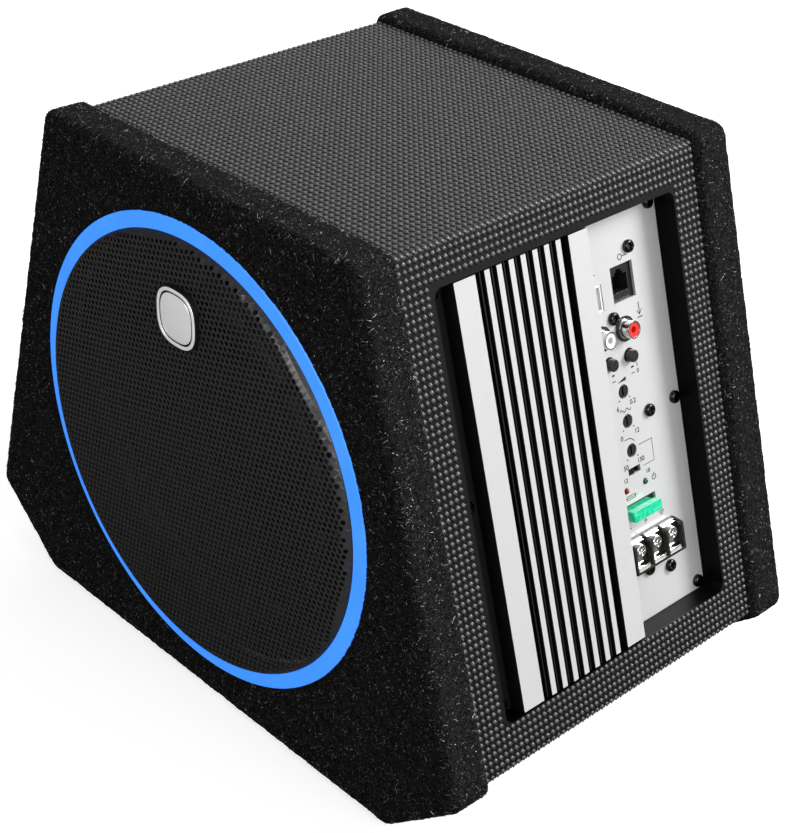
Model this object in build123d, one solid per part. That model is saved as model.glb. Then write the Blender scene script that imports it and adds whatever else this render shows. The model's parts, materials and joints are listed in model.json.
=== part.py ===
from build123d import *
import math
import os

# A powered car subwoofer: a hexagonal box with carpeted end slabs, an 8 inch driver in the
# front slab and an amplifier sunk in the sloping right side.
# Frame: millimetres, +Z up, the driver faces -Y, the amplifier wall is on +X.
# The origin is on the floor, under the middle of the whole object.

# Box outline seen from the front, the same for both slabs
HEIGHT = 268.5
TOP_HALF_WIDTH = 106.07
WIDEST_HALF_WIDTH = 173.31
WIDEST_HEIGHT = 37.19
FOOT_HALF_WIDTH = 130.1

# Box construction
DEPTH = 226.5
SLAB_DEPTH = 21.7
SLAB_CORNER_R = 7.0
SLAB_EDGE_R = 4.0
CARPET = 1.85
CARPET_LAP_INSET = 30.0
BODY_INSET = 3.9
BODY_EDGE_ROUNDING = 2.5
VINYL = 0.8
BOARD = 12.7

# Driver and grille; their depths run inwards from the front slab's face
RING_HEIGHT = 133.7
RING_OUTER_R = 115.0
RING_INNER_R = 107.4
RING_PROUD = 0.6
GRILLE_SHEET = 0.8
GRILLE_EDGE_PROUD = 4.6
GRILLE_CENTRE_PROUD = 7.0
GRILLE_RIM_R = 4.4
GRILLE_SKIRT_DEPTH = 8.0
BADGE_PROUD = 8.0
BADGE_SEAT_PROUD = 4.8
BADGE_WIDTH = 27.0
BADGE_HEIGHT = 28.0
BADGE_ABOVE_CENTRE = 73.0
FLANGE_DEPTH = 9.5
FLANGE_R = 105.0
FLANGE_SHEET = 1.5
BASKET_SHEET = 1.5
CUTOUT_R = 93.5
CONE_TRAVEL = 5.0
SURROUND_ROLL_R = 79.5
SURROUND_ROLL = 6.5
SURROUND_SHEET = 1.2
CONE_LIP_R = 68.0
CONE_SHEET = 0.9
COIL_BORE_R = 19.0
COIL_FORMER_R = 19.3
COIL_WINDING_R = 20.2
NECK_DEPTH = 41.6
SPIDER_DEPTH = 46.0
SPIDER_SEAT_R = 52.0
MOTOR_DEPTH = 66.0
TOP_PLATE_T = 6.0
MAGNET_T = 18.0
BACK_PLATE_T = 6.0
POLE_R = 18.4
MAGNET_R = 50.0
WOOFER_SCREWS = 8
WOOFER_SCREW_CIRCLE_R = 100.0
WOOFER_SHANK_R = 2.0
WOOFER_SHANK_LENGTH = 9.0

# Amplifier bay in the sloping wall. u runs back from the front slab's face, v runs down the
# slope from the body's top edge, and d runs into the wall from its outer surface.
BAY_U = (39.8, 188.9)
BAY_V = (18.4, 216.0)
BAY_CORNER_R = 4.5
PLATE_D = 12.0
PLATE_T = 1.5
PLATE_BACK_D = PLATE_D + PLATE_T
PLATE_GAP = 0.3
FRAME_U = (28.0, 198.6)
FRAME_V = (12.0, 226.0)
FRAME_OPENING_U = (50.0, 178.5)
FRAME_OPENING_V = (29.0, 205.5)
COVER_U = (54.0, 174.5)
COVER_V = (33.0, 201.5)
COVER_D = 53.5
COVER_SHEET = 1.0
BOARD_D = 24.0
BOARD_T = 1.6

# Heatsink extrusion
FIN_TOP_D = 0.6
FIN_ROOT_D = 9.0
WIDE_RIB_LEFT_U = (51.4, 63.75)
WIDE_RIB_RIGHT_U = (119.85, 131.8)
NARROW_RIB_FIRST_U = 69.05
NARROW_RIB_WIDTH = 2.95
NARROW_RIB_PITCH = 7.143
NARROW_RIBS = 7
THIN_FIN_WIDTH = 0.6
THIN_FIN_BEFORE_RIB = 2.1
THIN_FIN_TOP_D = 1.35
HEATSINK_END_GAP = 0.8

# Controls and sockets on the plate, as (u, v) centres
PLATE_SCREWS = [
    (183.7, 22.9), (184.7, 117.3), (184.1, 211.7),
    (167.3, 38.8), (151.7, 68.2), (166.8, 117.4), (166.8, 196.2), (152.3, 191.9),
]
FLANGE_SCREWS = [(45.5, 22.9), (45.5, 117.3), (45.5, 211.7)]
SCREW_HEAD_R = 3.1
SCREW_HEAD_H = 2.1
SCREW_SHANK_R = 1.5
REMOTE_U = (154.0, 168.8)
REMOTE_V = (45.5, 62.4)
REMOTE_FACE_D = 13.8
INPUT_U = (139.0, 147.2)
INPUT_V = (50.5, 63.2)
RCA_RED = (158.2, 74.9)
RCA_WHITE = (142.5, 74.9)
RCA_TIP_D = 6.0
RCA_SHELL_R = 4.15
RCA_ROOT_R = 4.7
RCA_COLLAR_R = 5.9
RCA_COLLAR_D = 11.0
PHASE_BUTTON = (145.4, 88.0)
AUTO_BUTTON = (158.9, 88.0)
BUTTON_R = 2.9
BUTTON_HOLE_R = 3.5
BUTTON_TOP_D = 8.7
BUTTON_TRAVEL = 2.2
GAIN_KNOB = (152.0, 103.2)
BASS_KNOB = (152.0, 117.6)
CROSSOVER_KNOB = (152.0, 132.0)
KNOB_R = 3.0
KNOB_HOLE_R = 3.3
KNOB_SHAFT_R = 1.5
RUNNING_CLEARANCE = 0.05
SWITCH = (152.0, 141.8)
SWITCH_SLOT = (8.2, 3.3)
SWITCH_SLIDER = (3.6, 2.9)
SWITCH_TRAVEL = 4.0
POWER_LED = (158.1, 149.6)
PROTECT_LED = (144.9, 149.6)
LED_R = 1.5
FUSE_SLOT_U = (136.1, 163.5)
FUSE_SLOT_V = (156.7, 163.2)
FUSE = (150.0, 160.0)
FUSE_SIZE = (19.2, 5.1)
FUSE_TOP_D = 5.0
FUSE_BLADE = (5.2, 0.65)
FUSE_BLADE_SPACING = 13.2
FUSE_BLADE_END_D = 20.0
TERMINAL_U = (137.4, 172.2)
TERMINAL_V = (172.6, 188.0)
TERMINAL_TOP_D = 5.0
TERMINAL_FLOOR_D = 10.6
TERMINAL_WALL = 1.3
TERMINALS = 3
TERMINAL_SCREW_V = 178.0
TERMINAL_LEAN = 1.7
CLAMP_V = (173.8, 184.3)
CLAMP_WIDTH = 8.6
CLAMP_D = (8.2, 9.2)
TERMINAL_TAB_T = 1.2
TERMINAL_TAB_TOP_D = 6.0
TERMINAL_SHANK_R = 1.75
TERMINAL_SHANK_END_D = 16.0

FRONT_Y = (BADGE_PROUD - DEPTH) / 2
BODY_FRONT_Y = FRONT_Y + SLAB_DEPTH
BODY_REAR_Y = FRONT_Y + DEPTH - SLAB_DEPTH

CORNERS = [
    Vector(-TOP_HALF_WIDTH, HEIGHT),
    Vector(TOP_HALF_WIDTH, HEIGHT),
    Vector(WIDEST_HALF_WIDTH, WIDEST_HEIGHT),
    Vector(FOOT_HALF_WIDTH, 0),
    Vector(-FOOT_HALF_WIDTH, 0),
    Vector(-WIDEST_HALF_WIDTH, WIDEST_HEIGHT),
]


# ---------------------------------------------------------------- shared geometry


def inward_normal(start, end):
    """Unit normal into the outline, whose corners run clockwise seen from the front."""
    along = (end - start).normalized()
    return Vector(along.Y, -along.X)


def outline(inset):
    """Corners of the box outline, as Vectors of (x, z), moved inwards by inset."""
    moved = []
    for i, corner in enumerate(CORNERS):
        before = inward_normal(CORNERS[i - 1], corner)
        after = inward_normal(corner, CORNERS[(i + 1) % len(CORNERS)])
        moved.append(corner + (before + after) * (inset / (1 + before.dot(after))))
    return moved


def prism(corners, y_front, y_rear):
    """Solid with the given front outline, from y_front back to y_rear."""
    face = make_face(Polyline(*[(c.X, c.Y) for c in corners], close=True))
    return extrude(Plane.XZ.offset(-y_rear) * face, y_rear - y_front)


def turned(*profile):
    """Closed (radius, depth) profile turned about the driver's axis."""
    return turned_face(make_face(Polyline(*profile, close=True)))


def turned_face(face):
    """Face drawn as (radius, depth), turned about the driver's axis and put in place."""
    return DRIVER * revolve(Plane.XZ * face, Axis.Z)


def disc(radius, depth_from, depth_to):
    """Round solid on the driver's axis."""
    return turned((0, depth_from), (radius, depth_from), (radius, depth_to), (0, depth_to))


def ring(r_in, r_out, depth_from, depth_to):
    """Flat ring on the driver's axis."""
    return turned((r_in, depth_from), (r_out, depth_from), (r_out, depth_to), (r_in, depth_to))


def block(u, v, d):
    """Box in the amplifier wall's (u, v, d) directions; each is a (low, high) pair."""
    centre = Pos((u[0] + u[1]) / 2, -(v[0] + v[1]) / 2, -(d[0] + d[1]) / 2)
    return centre * Box(u[1] - u[0], v[1] - v[0], d[1] - d[0])


def plate_block(centre, size, d):
    """Box of (u, v) size about a centre on the plate."""
    u, v = centre
    return block((u - size[0] / 2, u + size[0] / 2), (v - size[1] / 2, v + size[1] / 2), d)


def post(centre, radius, d):
    """Cylinder along the amplifier wall's normal."""
    return Pos(centre[0], -centre[1], -(d[0] + d[1]) / 2) * Cylinder(radius, d[1] - d[0])


def grown(pair, margin):
    """A (low, high) pair made larger by margin at both ends."""
    return (pair[0] - margin, pair[1] + margin)


def export(name, solid):
    """Write one piece to its own file."""
    export_step(solid, f"parts/{name}.step")


DRIVER = Plane(origin=(0, FRONT_Y, RING_HEIGHT), x_dir=(1, 0, 0), z_dir=(0, 1, 0))
BODY_OUTLINE = outline(BODY_INSET)
WALL_TOP = BODY_OUTLINE[1]
WALL_NORMAL = inward_normal(BODY_OUTLINE[1], BODY_OUTLINE[2]) * -1
AMP = Plane(
    origin=(WALL_TOP.X, FRONT_Y, WALL_TOP.Y),
    x_dir=(0, 1, 0),
    z_dir=(WALL_NORMAL.X, 0, WALL_NORMAL.Y),
)


# ---------------------------------------------------------------- box


def rounded_slab(inset, y_front, y_rear):
    """End slab with rounded corners and edges, inset all round from the carpet's surface."""
    slab = prism(outline(inset), y_front, y_rear)
    corners = slab.edges().filter_by(Axis.Y)
    slab = fillet(corners, SLAB_CORNER_R - inset)
    return fillet(slab.edges() - slab.edges().filter_by(Axis.Y), SLAB_EDGE_R - inset)


def slab_board(y_front, y_rear):
    """Fibreboard core of an end slab."""
    return rounded_slab(CARPET, y_front + CARPET, y_rear - CARPET)


def slab_carpet(y_front, y_rear, lap_front, lap_rear):
    """Carpet round an end slab, open where the body covers the board."""
    carpet = rounded_slab(0, y_front, y_rear) - slab_board(y_front, y_rear)
    return carpet - prism(outline(CARPET_LAP_INSET), lap_front, lap_rear)


def driver_rebate():
    """Space that the grille ring and the driver's flange take in the front slab."""
    return disc(RING_OUTER_R, -SLAB_DEPTH, FLANGE_DEPTH + FLANGE_SHEET)


def front_slab_pieces():
    """Front baffle and its carpet, bored for the driver."""
    y_rear = FRONT_Y + SLAB_DEPTH
    bore = disc(CUTOUT_R, -SLAB_DEPTH, 2 * SLAB_DEPTH)
    baffle = slab_board(FRONT_Y, y_rear) - driver_rebate() - bore - round_woofer(woofer_screw_shank(0))
    carpet = slab_carpet(FRONT_Y, y_rear, y_rear - CARPET, y_rear) - driver_rebate()
    return baffle, carpet


def rear_slab_pieces():
    """Rear slab and its carpet."""
    y_rear = FRONT_Y + DEPTH
    y_front = y_rear - SLAB_DEPTH
    carpet = slab_carpet(y_front, y_rear, y_front, y_front + CARPET)
    return slab_board(y_front, y_rear), carpet


def body_panels():
    """The six body boards, mitred at their corners, in the order of the outline's sides."""
    outer = outline(BODY_INSET + VINYL)
    inner = outline(BODY_INSET + VINYL + BOARD)
    panels = []
    for i in range(len(outer)):
        j = (i + 1) % len(outer)
        side = [outer[i], outer[j], inner[j], inner[i]]
        panels.append(prism(side, BODY_FRONT_Y, BODY_REAR_Y))
    return panels


def bay(margin, d):
    """The amplifier bay as a solid with rounded corners, larger all round by margin."""
    hollow = block(grown(BAY_U, margin), grown(BAY_V, margin), d)
    return fillet(hollow.edges().filter_by(Axis.Z), BAY_CORNER_R + margin)


def vinyl_wrap():
    """Vinyl skin round the body, turned into the amplifier bay."""
    skin = prism(BODY_OUTLINE, BODY_FRONT_Y, BODY_REAR_Y)
    skin = fillet(skin.edges().filter_by(Axis.Y), BODY_EDGE_ROUNDING)
    skin -= prism(outline(BODY_INSET + VINYL), BODY_FRONT_Y, BODY_REAR_Y)
    skin -= AMP * bay(0, (-BOARD, BOARD))
    return skin + AMP * (bay(VINYL, (0, PLATE_D)) - bay(0, (0, PLATE_D)))


def mounting_frame():
    """Board frame behind the bay that the plate screws bite into."""
    depth = (PLATE_BACK_D, PLATE_BACK_D + BOARD)
    frame = block(FRAME_U, FRAME_V, depth) - block(FRAME_OPENING_U, FRAME_OPENING_V, depth)
    for u, v in PLATE_SCREWS[:3] + FLANGE_SCREWS:
        frame -= screw_shank((u, v), PLATE_D)
    return AMP * frame


# ---------------------------------------------------------------- driver


def round_woofer(solid):
    """Copies of a solid at every screw position round the driver's flange."""
    return DRIVER * Compound(PolarLocations(0, WOOFER_SCREWS, 22.5) * solid)


def woofer_screw_shank(clearance):
    """Shank of one driver screw, before it is copied round the flange."""
    middle = FLANGE_DEPTH + WOOFER_SHANK_LENGTH / 2
    return Pos(WOOFER_SCREW_CIRCLE_R, 0, middle) * Cylinder(WOOFER_SHANK_R + clearance, WOOFER_SHANK_LENGTH)


def woofer_screws():
    """Cheese-head screws that hold the driver."""
    head = Pos(WOOFER_SCREW_CIRCLE_R, 0, FLANGE_DEPTH - 1.0) * Cylinder(3.8, 2.0)
    recess = Box(4.2, 0.9, 2.4) + Box(0.9, 4.2, 2.4)
    screw = head + woofer_screw_shank(0) - Pos(WOOFER_SCREW_CIRCLE_R, 0, FLANGE_DEPTH - 2.0) * recess
    return round_woofer(screw)


def basket():
    """Pressed steel basket with six windows between its legs."""
    d, t = FLANGE_DEPTH, BASKET_SHEET
    shell = turned(
        (FLANGE_R, d), (85.5, d), (85.5, d + t), (90.8, d + t), (90.8, 20.0),
        (62.5, SPIDER_DEPTH), (SPIDER_SEAT_R, SPIDER_DEPTH), (SPIDER_SEAT_R, MOTOR_DEPTH - t),
        (24.0, MOTOR_DEPTH - t), (24.0, MOTOR_DEPTH), (SPIDER_SEAT_R + t, MOTOR_DEPTH),
        (SPIDER_SEAT_R + t, SPIDER_DEPTH + t), (63.2, SPIDER_DEPTH + t), (92.3, 20.8),
        (92.3, d + t), (FLANGE_R, d + t),
    )
    window = Pos(78, 0, 33) * Box(40, 38, 19)
    windows = DRIVER * Compound(PolarLocations(0, 6) * window)
    return shell - windows - round_woofer(woofer_screw_shank(0.1))


def surround():
    """Rubber half-roll between the basket flange and the cone."""
    inner_r = SURROUND_ROLL_R - SURROUND_ROLL
    outer_r = SURROUND_ROLL_R + SURROUND_ROLL
    lip = (FLANGE_DEPTH - SURROUND_SHEET, FLANGE_DEPTH)
    roll = Pos(SURROUND_ROLL_R, FLANGE_DEPTH) * (
        Circle(SURROUND_ROLL + SURROUND_SHEET / 2) - Circle(SURROUND_ROLL - SURROUND_SHEET / 2)
    )
    below = Pos(SURROUND_ROLL_R, FLANGE_DEPTH + 10) * Rectangle(40, 20)
    half_roll = turned_face(roll - below)
    outer_lip = ring(outer_r - SURROUND_SHEET / 2, outer_r + 5.0, *lip)
    inner_lip = ring(CONE_LIP_R, inner_r + SURROUND_SHEET / 2, *lip)
    return half_roll + outer_lip + inner_lip


def cone():
    """Paper cone with a flat lip and a neck on the voice coil."""
    d = FLANGE_DEPTH
    return turned(
        (73.0, d), (73.0, d + CONE_SHEET), (69.5, d + CONE_SHEET), (COIL_FORMER_R, NECK_DEPTH + 1.4),
        (COIL_FORMER_R, NECK_DEPTH), (CONE_LIP_R + 1.0, d),
    )


def dust_cap():
    """Shallow dome that covers the coil."""
    rim_r, rise, sheet = 36.0, 10.0, 0.8
    slope = (NECK_DEPTH - FLANGE_DEPTH) / (CONE_LIP_R + 1.0 - COIL_FORMER_R)
    rim_depth = FLANGE_DEPTH + (CONE_LIP_R + 1.0 - rim_r) * slope
    sphere_r = (rim_r**2 + rise**2) / (2 * rise)
    centre = rim_depth - rise + sphere_r
    shell = Pos(0, centre) * (Circle(sphere_r) - Circle(sphere_r - sheet))
    window = Pos(rim_r / 2, rim_depth - rise) * Rectangle(rim_r, 2 * rise + 2)
    return turned_face(shell & window) - cone()


def voice_coil():
    """Former with its winding."""
    former_end = MOTOR_DEPTH + 14.0
    return turned(
        (COIL_BORE_R, NECK_DEPTH - 1.0), (COIL_FORMER_R, NECK_DEPTH - 1.0),
        (COIL_FORMER_R, former_end - 18.0), (COIL_WINDING_R, former_end - 18.0),
        (COIL_WINDING_R, former_end - 1.0), (COIL_FORMER_R, former_end - 1.0),
        (COIL_FORMER_R, former_end), (COIL_BORE_R, former_end),
    )


def spider():
    """Corrugated cloth disc from the former to its seat in the basket."""
    crests, height, sheet = 10, 1.6, 0.5
    first_r, last_r = COIL_FORMER_R + 2.0, SPIDER_SEAT_R + 1.0
    mid = SPIDER_DEPTH - sheet
    front, back = [(COIL_FORMER_R, mid)], [(COIL_FORMER_R, mid + sheet)]
    for i in range(crests + 1):
        r = first_r + (last_r - first_r) * i / crests
        lift = 0 if i in (0, crests) else height * (-1) ** i
        front.append((r, mid + lift))
        back.append((r, mid + lift + sheet))
    front.append((last_r + 8.0, mid))
    back.append((last_r + 8.0, mid + sheet))
    return turned(*front, *reversed(back))


def motor_pieces():
    """Top plate, ring magnet and back plate with its vented pole."""
    d0 = MOTOR_DEPTH
    d1 = d0 + TOP_PLATE_T
    d2 = d1 + MAGNET_T
    d3 = d2 + BACK_PLATE_T
    top_plate = ring(COIL_WINDING_R + 0.6, MAGNET_R - 4.0, d0, d1)
    magnet = ring(27.0, MAGNET_R, d1, d2)
    back_plate = disc(MAGNET_R - 3.0, d2, d3) + disc(POLE_R, d0, d2) - disc(6.0, d0, d3)
    return top_plate, magnet, back_plate


def woofer_terminals():
    """Terminal strip with two tabs, on the basket's lower wall."""
    wall_r = SPIDER_SEAT_R + BASKET_SHEET
    strip = Pos(wall_r + 1.0, 0, 57) * Box(2.0, 24, 10)
    tabs = Pos(wall_r + 6.0, 8, 57) * Box(8.0, 5, 0.8) + Pos(wall_r + 6.0, -8, 57) * Box(8.0, 5, 0.8)
    return DRIVER * (strip + tabs)


def speaker_wires():
    """Two insulated wires from the amplifier's cover to the driver's tabs."""
    wires = []
    for side in (-1, 1):
        tab = DRIVER.from_local_coords((SPIDER_SEAT_R + BASKET_SHEET + 9.2, 8 * side, 59.0))
        gland = AMP.from_local_coords((74.0, -(134.0 + 4 * side), -(COVER_D + 1.2)))
        bend = (tab + gland) * 0.5 + Vector(0, 8, -6)
        path = Spline(tab, bend, gland)
        wires.append(sweep(Plane(origin=path @ 0, z_dir=path % 0) * Circle(1.4), path))
    return Compound(wires)


# ---------------------------------------------------------------- grille


def dome_depth(radius):
    """Depth of the grille's spherical outer face at a radius; negative stands proud."""
    dome_r = RING_INNER_R - GRILLE_RIM_R
    rise = GRILLE_CENTRE_PROUD - GRILLE_EDGE_PROUD
    sphere_r = (dome_r**2 + rise**2) / (2 * rise)
    return sphere_r - GRILLE_CENTRE_PROUD - math.sqrt(sphere_r**2 - radius**2)


def grille_mesh():
    """Domed steel sheet with a turned-down rim; the perforation is not cut here."""
    t, rim_r = GRILLE_SHEET, GRILLE_RIM_R
    dome_r = RING_INNER_R - rim_r
    bend_depth = rim_r - GRILLE_EDGE_PROUD
    bend = math.sqrt(0.5)
    outer = [
        ThreePointArc((0, dome_depth(0)), (dome_r / 2, dome_depth(dome_r / 2)), (dome_r, -GRILLE_EDGE_PROUD)),
        ThreePointArc(
            (dome_r, -GRILLE_EDGE_PROUD),
            (dome_r + rim_r * bend, bend_depth - rim_r * bend),
            (RING_INNER_R, bend_depth),
        ),
        Line((RING_INNER_R, bend_depth), (RING_INNER_R, GRILLE_SKIRT_DEPTH)),
    ]
    inner_r = rim_r - t
    inner = [
        Line((RING_INNER_R, GRILLE_SKIRT_DEPTH), (RING_INNER_R - t, GRILLE_SKIRT_DEPTH)),
        Line((RING_INNER_R - t, GRILLE_SKIRT_DEPTH), (RING_INNER_R - t, bend_depth)),
        ThreePointArc(
            (RING_INNER_R - t, bend_depth),
            (dome_r + inner_r * bend, bend_depth - inner_r * bend),
            (dome_r, t - GRILLE_EDGE_PROUD),
        ),
        ThreePointArc(
            (dome_r, t - GRILLE_EDGE_PROUD), (dome_r / 2, dome_depth(dome_r / 2) + t), (0, dome_depth(0) + t)
        ),
        Line((0, dome_depth(0) + t), (0, dome_depth(0))),
    ]
    return turned_face(make_face(outer + inner))


def grille_ring():
    """Painted trim ring that clamps the grille's skirt."""
    edge = 0.4
    return turned(
        (RING_INNER_R, -RING_PROUD), (RING_OUTER_R - edge, -RING_PROUD), (RING_OUTER_R, edge - RING_PROUD),
        (RING_OUTER_R, FLANGE_DEPTH + FLANGE_SHEET), (RING_INNER_R, FLANGE_DEPTH + FLANGE_SHEET),
    )


def badge():
    """Plain rounded badge, shaped at the back to sit on the domed grille."""
    filled_dome = turned_face(
        make_face(
            [
                ThreePointArc((0, dome_depth(0)), (50, dome_depth(50)), (100, dome_depth(100))),
                Line((100, dome_depth(100)), (0, dome_depth(100))),
                Line((0, dome_depth(100)), (0, dome_depth(0))),
            ]
        )
    )
    blank = RectangleRounded(BADGE_WIDTH, BADGE_HEIGHT, 9.0)
    plate = Pos(0, -BADGE_ABOVE_CENTRE, -BADGE_PROUD) * extrude(blank, BADGE_PROUD - BADGE_SEAT_PROUD)
    return DRIVER * plate - filled_dome


# ---------------------------------------------------------------- amplifier shell


def heatsink():
    """Extruded heatsink: two wide hollow ribs, and seven narrow ribs with a thin fin before each."""
    v = grown(BAY_V, -HEATSINK_END_GAP)
    fin = (FIN_TOP_D, FIN_ROOT_D)
    cavity = (FIN_TOP_D + 2.5, FIN_ROOT_D)
    sink = block((BAY_U[0] + HEATSINK_END_GAP, WIDE_RIB_RIGHT_U[1]), v, (FIN_ROOT_D, PLATE_D))
    for rib in (WIDE_RIB_LEFT_U, WIDE_RIB_RIGHT_U):
        sink += block(rib, v, fin) - block(grown(rib, -2.5), v, cavity)
    for i in range(NARROW_RIBS):
        start = NARROW_RIB_FIRST_U + i * NARROW_RIB_PITCH
        sink += block((start, start + NARROW_RIB_WIDTH), v, fin)
        thin_u = start - THIN_FIN_BEFORE_RIB
        sink += block(grown((thin_u, thin_u), THIN_FIN_WIDTH / 2), v, (THIN_FIN_TOP_D, FIN_ROOT_D))
    for screw in FLANGE_SCREWS:
        sink -= post(screw, SCREW_SHANK_R + 0.2, (FIN_ROOT_D - 1, PLATE_D))
    return AMP * (sink & bay(-HEATSINK_END_GAP, (FIN_TOP_D, PLATE_D)))


def control_plate():
    """Aluminium plate that carries the amplifier, pierced for its controls."""
    through = (PLATE_D - 1, PLATE_BACK_D + 1)
    plate = bay(-PLATE_GAP, (PLATE_D, PLATE_BACK_D))
    plate -= block(REMOTE_U, REMOTE_V, through)
    plate -= block(INPUT_U, INPUT_V, through)
    plate -= block(FUSE_SLOT_U, FUSE_SLOT_V, through)
    plate -= block(TERMINAL_U, TERMINAL_V, through)
    plate -= plate_block(SWITCH, SWITCH_SLOT, through)
    for screw in PLATE_SCREWS + FLANGE_SCREWS:
        plate -= post(screw, SCREW_SHANK_R + 0.1, through)
    for jack in (RCA_RED, RCA_WHITE):
        plate -= post(jack, RCA_COLLAR_R - 0.6, through)
    for button in (PHASE_BUTTON, AUTO_BUTTON):
        plate -= post(button, BUTTON_HOLE_R, through)
    for knob in (GAIN_KNOB, BASS_KNOB, CROSSOVER_KNOB):
        plate -= post(knob, KNOB_HOLE_R, through)
    for led in (POWER_LED, PROTECT_LED):
        plate -= post(led, LED_R + 0.1, through)
    return AMP * plate


def screw_shank(centre, head_seat_d):
    """Shank of a plate screw whose head sits at head_seat_d."""
    return post(centre, SCREW_SHANK_R, (head_seat_d, PLATE_BACK_D + 8.0))


def pan_screw(centre, head_seat_d, end_d):
    """Pan-head screw with a cross recess."""
    head = post(centre, SCREW_HEAD_R, (head_seat_d - SCREW_HEAD_H, head_seat_d))
    head = fillet(head.edges().sort_by(Axis.Z)[-1], 1.3)
    top = (head_seat_d - SCREW_HEAD_H - 1, head_seat_d - SCREW_HEAD_H + 1.2)
    head -= plate_block(centre, (3.6, 0.8), top) + plate_block(centre, (0.8, 3.6), top)
    return head + post(centre, SCREW_SHANK_R, (head_seat_d, end_d))


def plate_screws():
    """Screws of the plate and of the heatsink flange."""
    long_end = PLATE_BACK_D + 8.0
    screws = [pan_screw(s, PLATE_D, long_end) for s in PLATE_SCREWS[:3]]
    screws += [pan_screw(s, PLATE_D, PLATE_BACK_D + 4.0) for s in PLATE_SCREWS[3:]]
    screws += [pan_screw(s, FIN_ROOT_D, long_end) for s in FLANGE_SCREWS]
    return AMP * Compound(screws)


def amp_rear_cover():
    """Folded steel cover behind the plate, with a gland hole for the speaker wires."""
    depth = (PLATE_BACK_D, COVER_D)
    hollow = (PLATE_BACK_D, COVER_D - COVER_SHEET)
    cover = block(COVER_U, COVER_V, depth)
    cover -= block(grown(COVER_U, -COVER_SHEET), grown(COVER_V, -COVER_SHEET), hollow)
    cover -= post((74.0, 130.0), 1.2, (COVER_D - 3, COVER_D + 1))
    return AMP * (cover - post((74.0, 138.0), 1.2, (COVER_D - 3, COVER_D + 1)))


def circuit_board():
    """Main board."""
    return AMP * block(grown(COVER_U, -4.0), grown(COVER_V, -4.0), (BOARD_D, BOARD_D + BOARD_T))


def power_transformer():
    """Wound ring core of the switching supply."""
    core = Cylinder(17, 14) - Cylinder(7, 14)
    core = fillet(core.edges(), 2.5)
    return AMP * (Pos(90, -150, -(BOARD_D + BOARD_T + 7)) * core)


def filter_capacitors():
    """Four electrolytic capacitors."""
    depth = (BOARD_D + BOARD_T, BOARD_D + BOARD_T + 22)
    cans = []
    for u, v in ((125, 140), (125, 160), (145, 140), (145, 160)):
        can = post((u, v), 8.0, depth)
        cans.append(fillet(can.edges().sort_by(Axis.Z)[0], 0.8))
    return AMP * Compound(cans)


def power_transistors():
    """Four power transistors bolted behind the heatsink."""
    bodies = [plate_block((66 + 16 * i, 90), (10.5, 15), (PLATE_BACK_D, PLATE_BACK_D + 4.5)) for i in range(4)]
    return AMP * Compound(bodies)


# ---------------------------------------------------------------- sockets and controls


def remote_jack():
    """Modular socket set behind the plate."""
    body = block(grown(REMOTE_U, -0.1), grown(REMOTE_V, -0.1), (REMOTE_FACE_D, BOARD_D))
    u_mid = (REMOTE_U[0] + REMOTE_U[1]) / 2 - 0.4
    v_mid = (REMOTE_V[0] + REMOTE_V[1]) / 2 + 0.6
    depth = (REMOTE_FACE_D - 1, BOARD_D - 1.5)
    body -= plate_block((u_mid, v_mid), (10.2, 8.0), depth)
    body -= plate_block((u_mid, v_mid - 4.6), (5.4, 1.6), depth)
    return AMP * (body - plate_block((u_mid, v_mid - 5.9), (3.0, 1.4), depth))


def rca_housing():
    """Black moulding of the twin input sockets, with a collar round each."""
    seat = (RCA_COLLAR_D, PLATE_D)
    body = block((RCA_WHITE[0] - 6.2, RCA_RED[0] + 6.2), (70.2, 80.6), (PLATE_BACK_D, BOARD_D))
    for jack in (RCA_RED, RCA_WHITE):
        body += post(jack, RCA_COLLAR_R, seat)
        body += post(jack, RCA_COLLAR_R - 0.7, (PLATE_D, PLATE_BACK_D))
    for jack in (RCA_RED, RCA_WHITE):
        body -= post(jack, RCA_ROOT_R, (PLATE_D - 2, PLATE_BACK_D + 5))
    return AMP * body


def rca_shell(jack):
    """Tubular outer contact of one socket, with a wider root held inside the collar."""
    tube = post(jack, RCA_SHELL_R, (RCA_TIP_D, RCA_COLLAR_D))
    tube += post(jack, RCA_ROOT_R, (RCA_COLLAR_D, PLATE_BACK_D + 5))
    return tube - post(jack, RCA_SHELL_R - 0.7, (RCA_TIP_D - 1, PLATE_BACK_D + 4))


def rca_insert(jack):
    """Coloured insulator of one socket, bored for the plug's pin."""
    insert = post(jack, RCA_SHELL_R - 0.7, (RCA_TIP_D + 0.4, PLATE_BACK_D + 4))
    return AMP * (insert - post(jack, 1.6, (RCA_TIP_D - 1, PLATE_BACK_D + 2)))


def high_level_connector():
    """Four-way speaker-level input header."""
    depth = (PLATE_D + 0.4, BOARD_D)
    body = block(grown(INPUT_U, -0.1), grown(INPUT_V, -0.1), depth)
    well = (PLATE_D - 1, PLATE_D + 8)
    body -= block(grown(INPUT_U, -1.1), grown(INPUT_V, -1.1), well)
    u_mid = (INPUT_U[0] + INPUT_U[1]) / 2
    v_mid = (INPUT_V[0] + INPUT_V[1]) / 2
    for i in range(4):
        body += plate_block((u_mid, v_mid + 2.5 * (i - 1.5)), (0.8, 0.8), (PLATE_D + 2, PLATE_D + 8.5))
    return AMP * body


def button_cap(centre):
    """Push-button cap with its stem."""
    cap = post(centre, BUTTON_R, (BUTTON_TOP_D, PLATE_BACK_D + 4.5))
    return AMP * fillet(cap.edges().sort_by(Axis.Z)[-1], 0.4)


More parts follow.
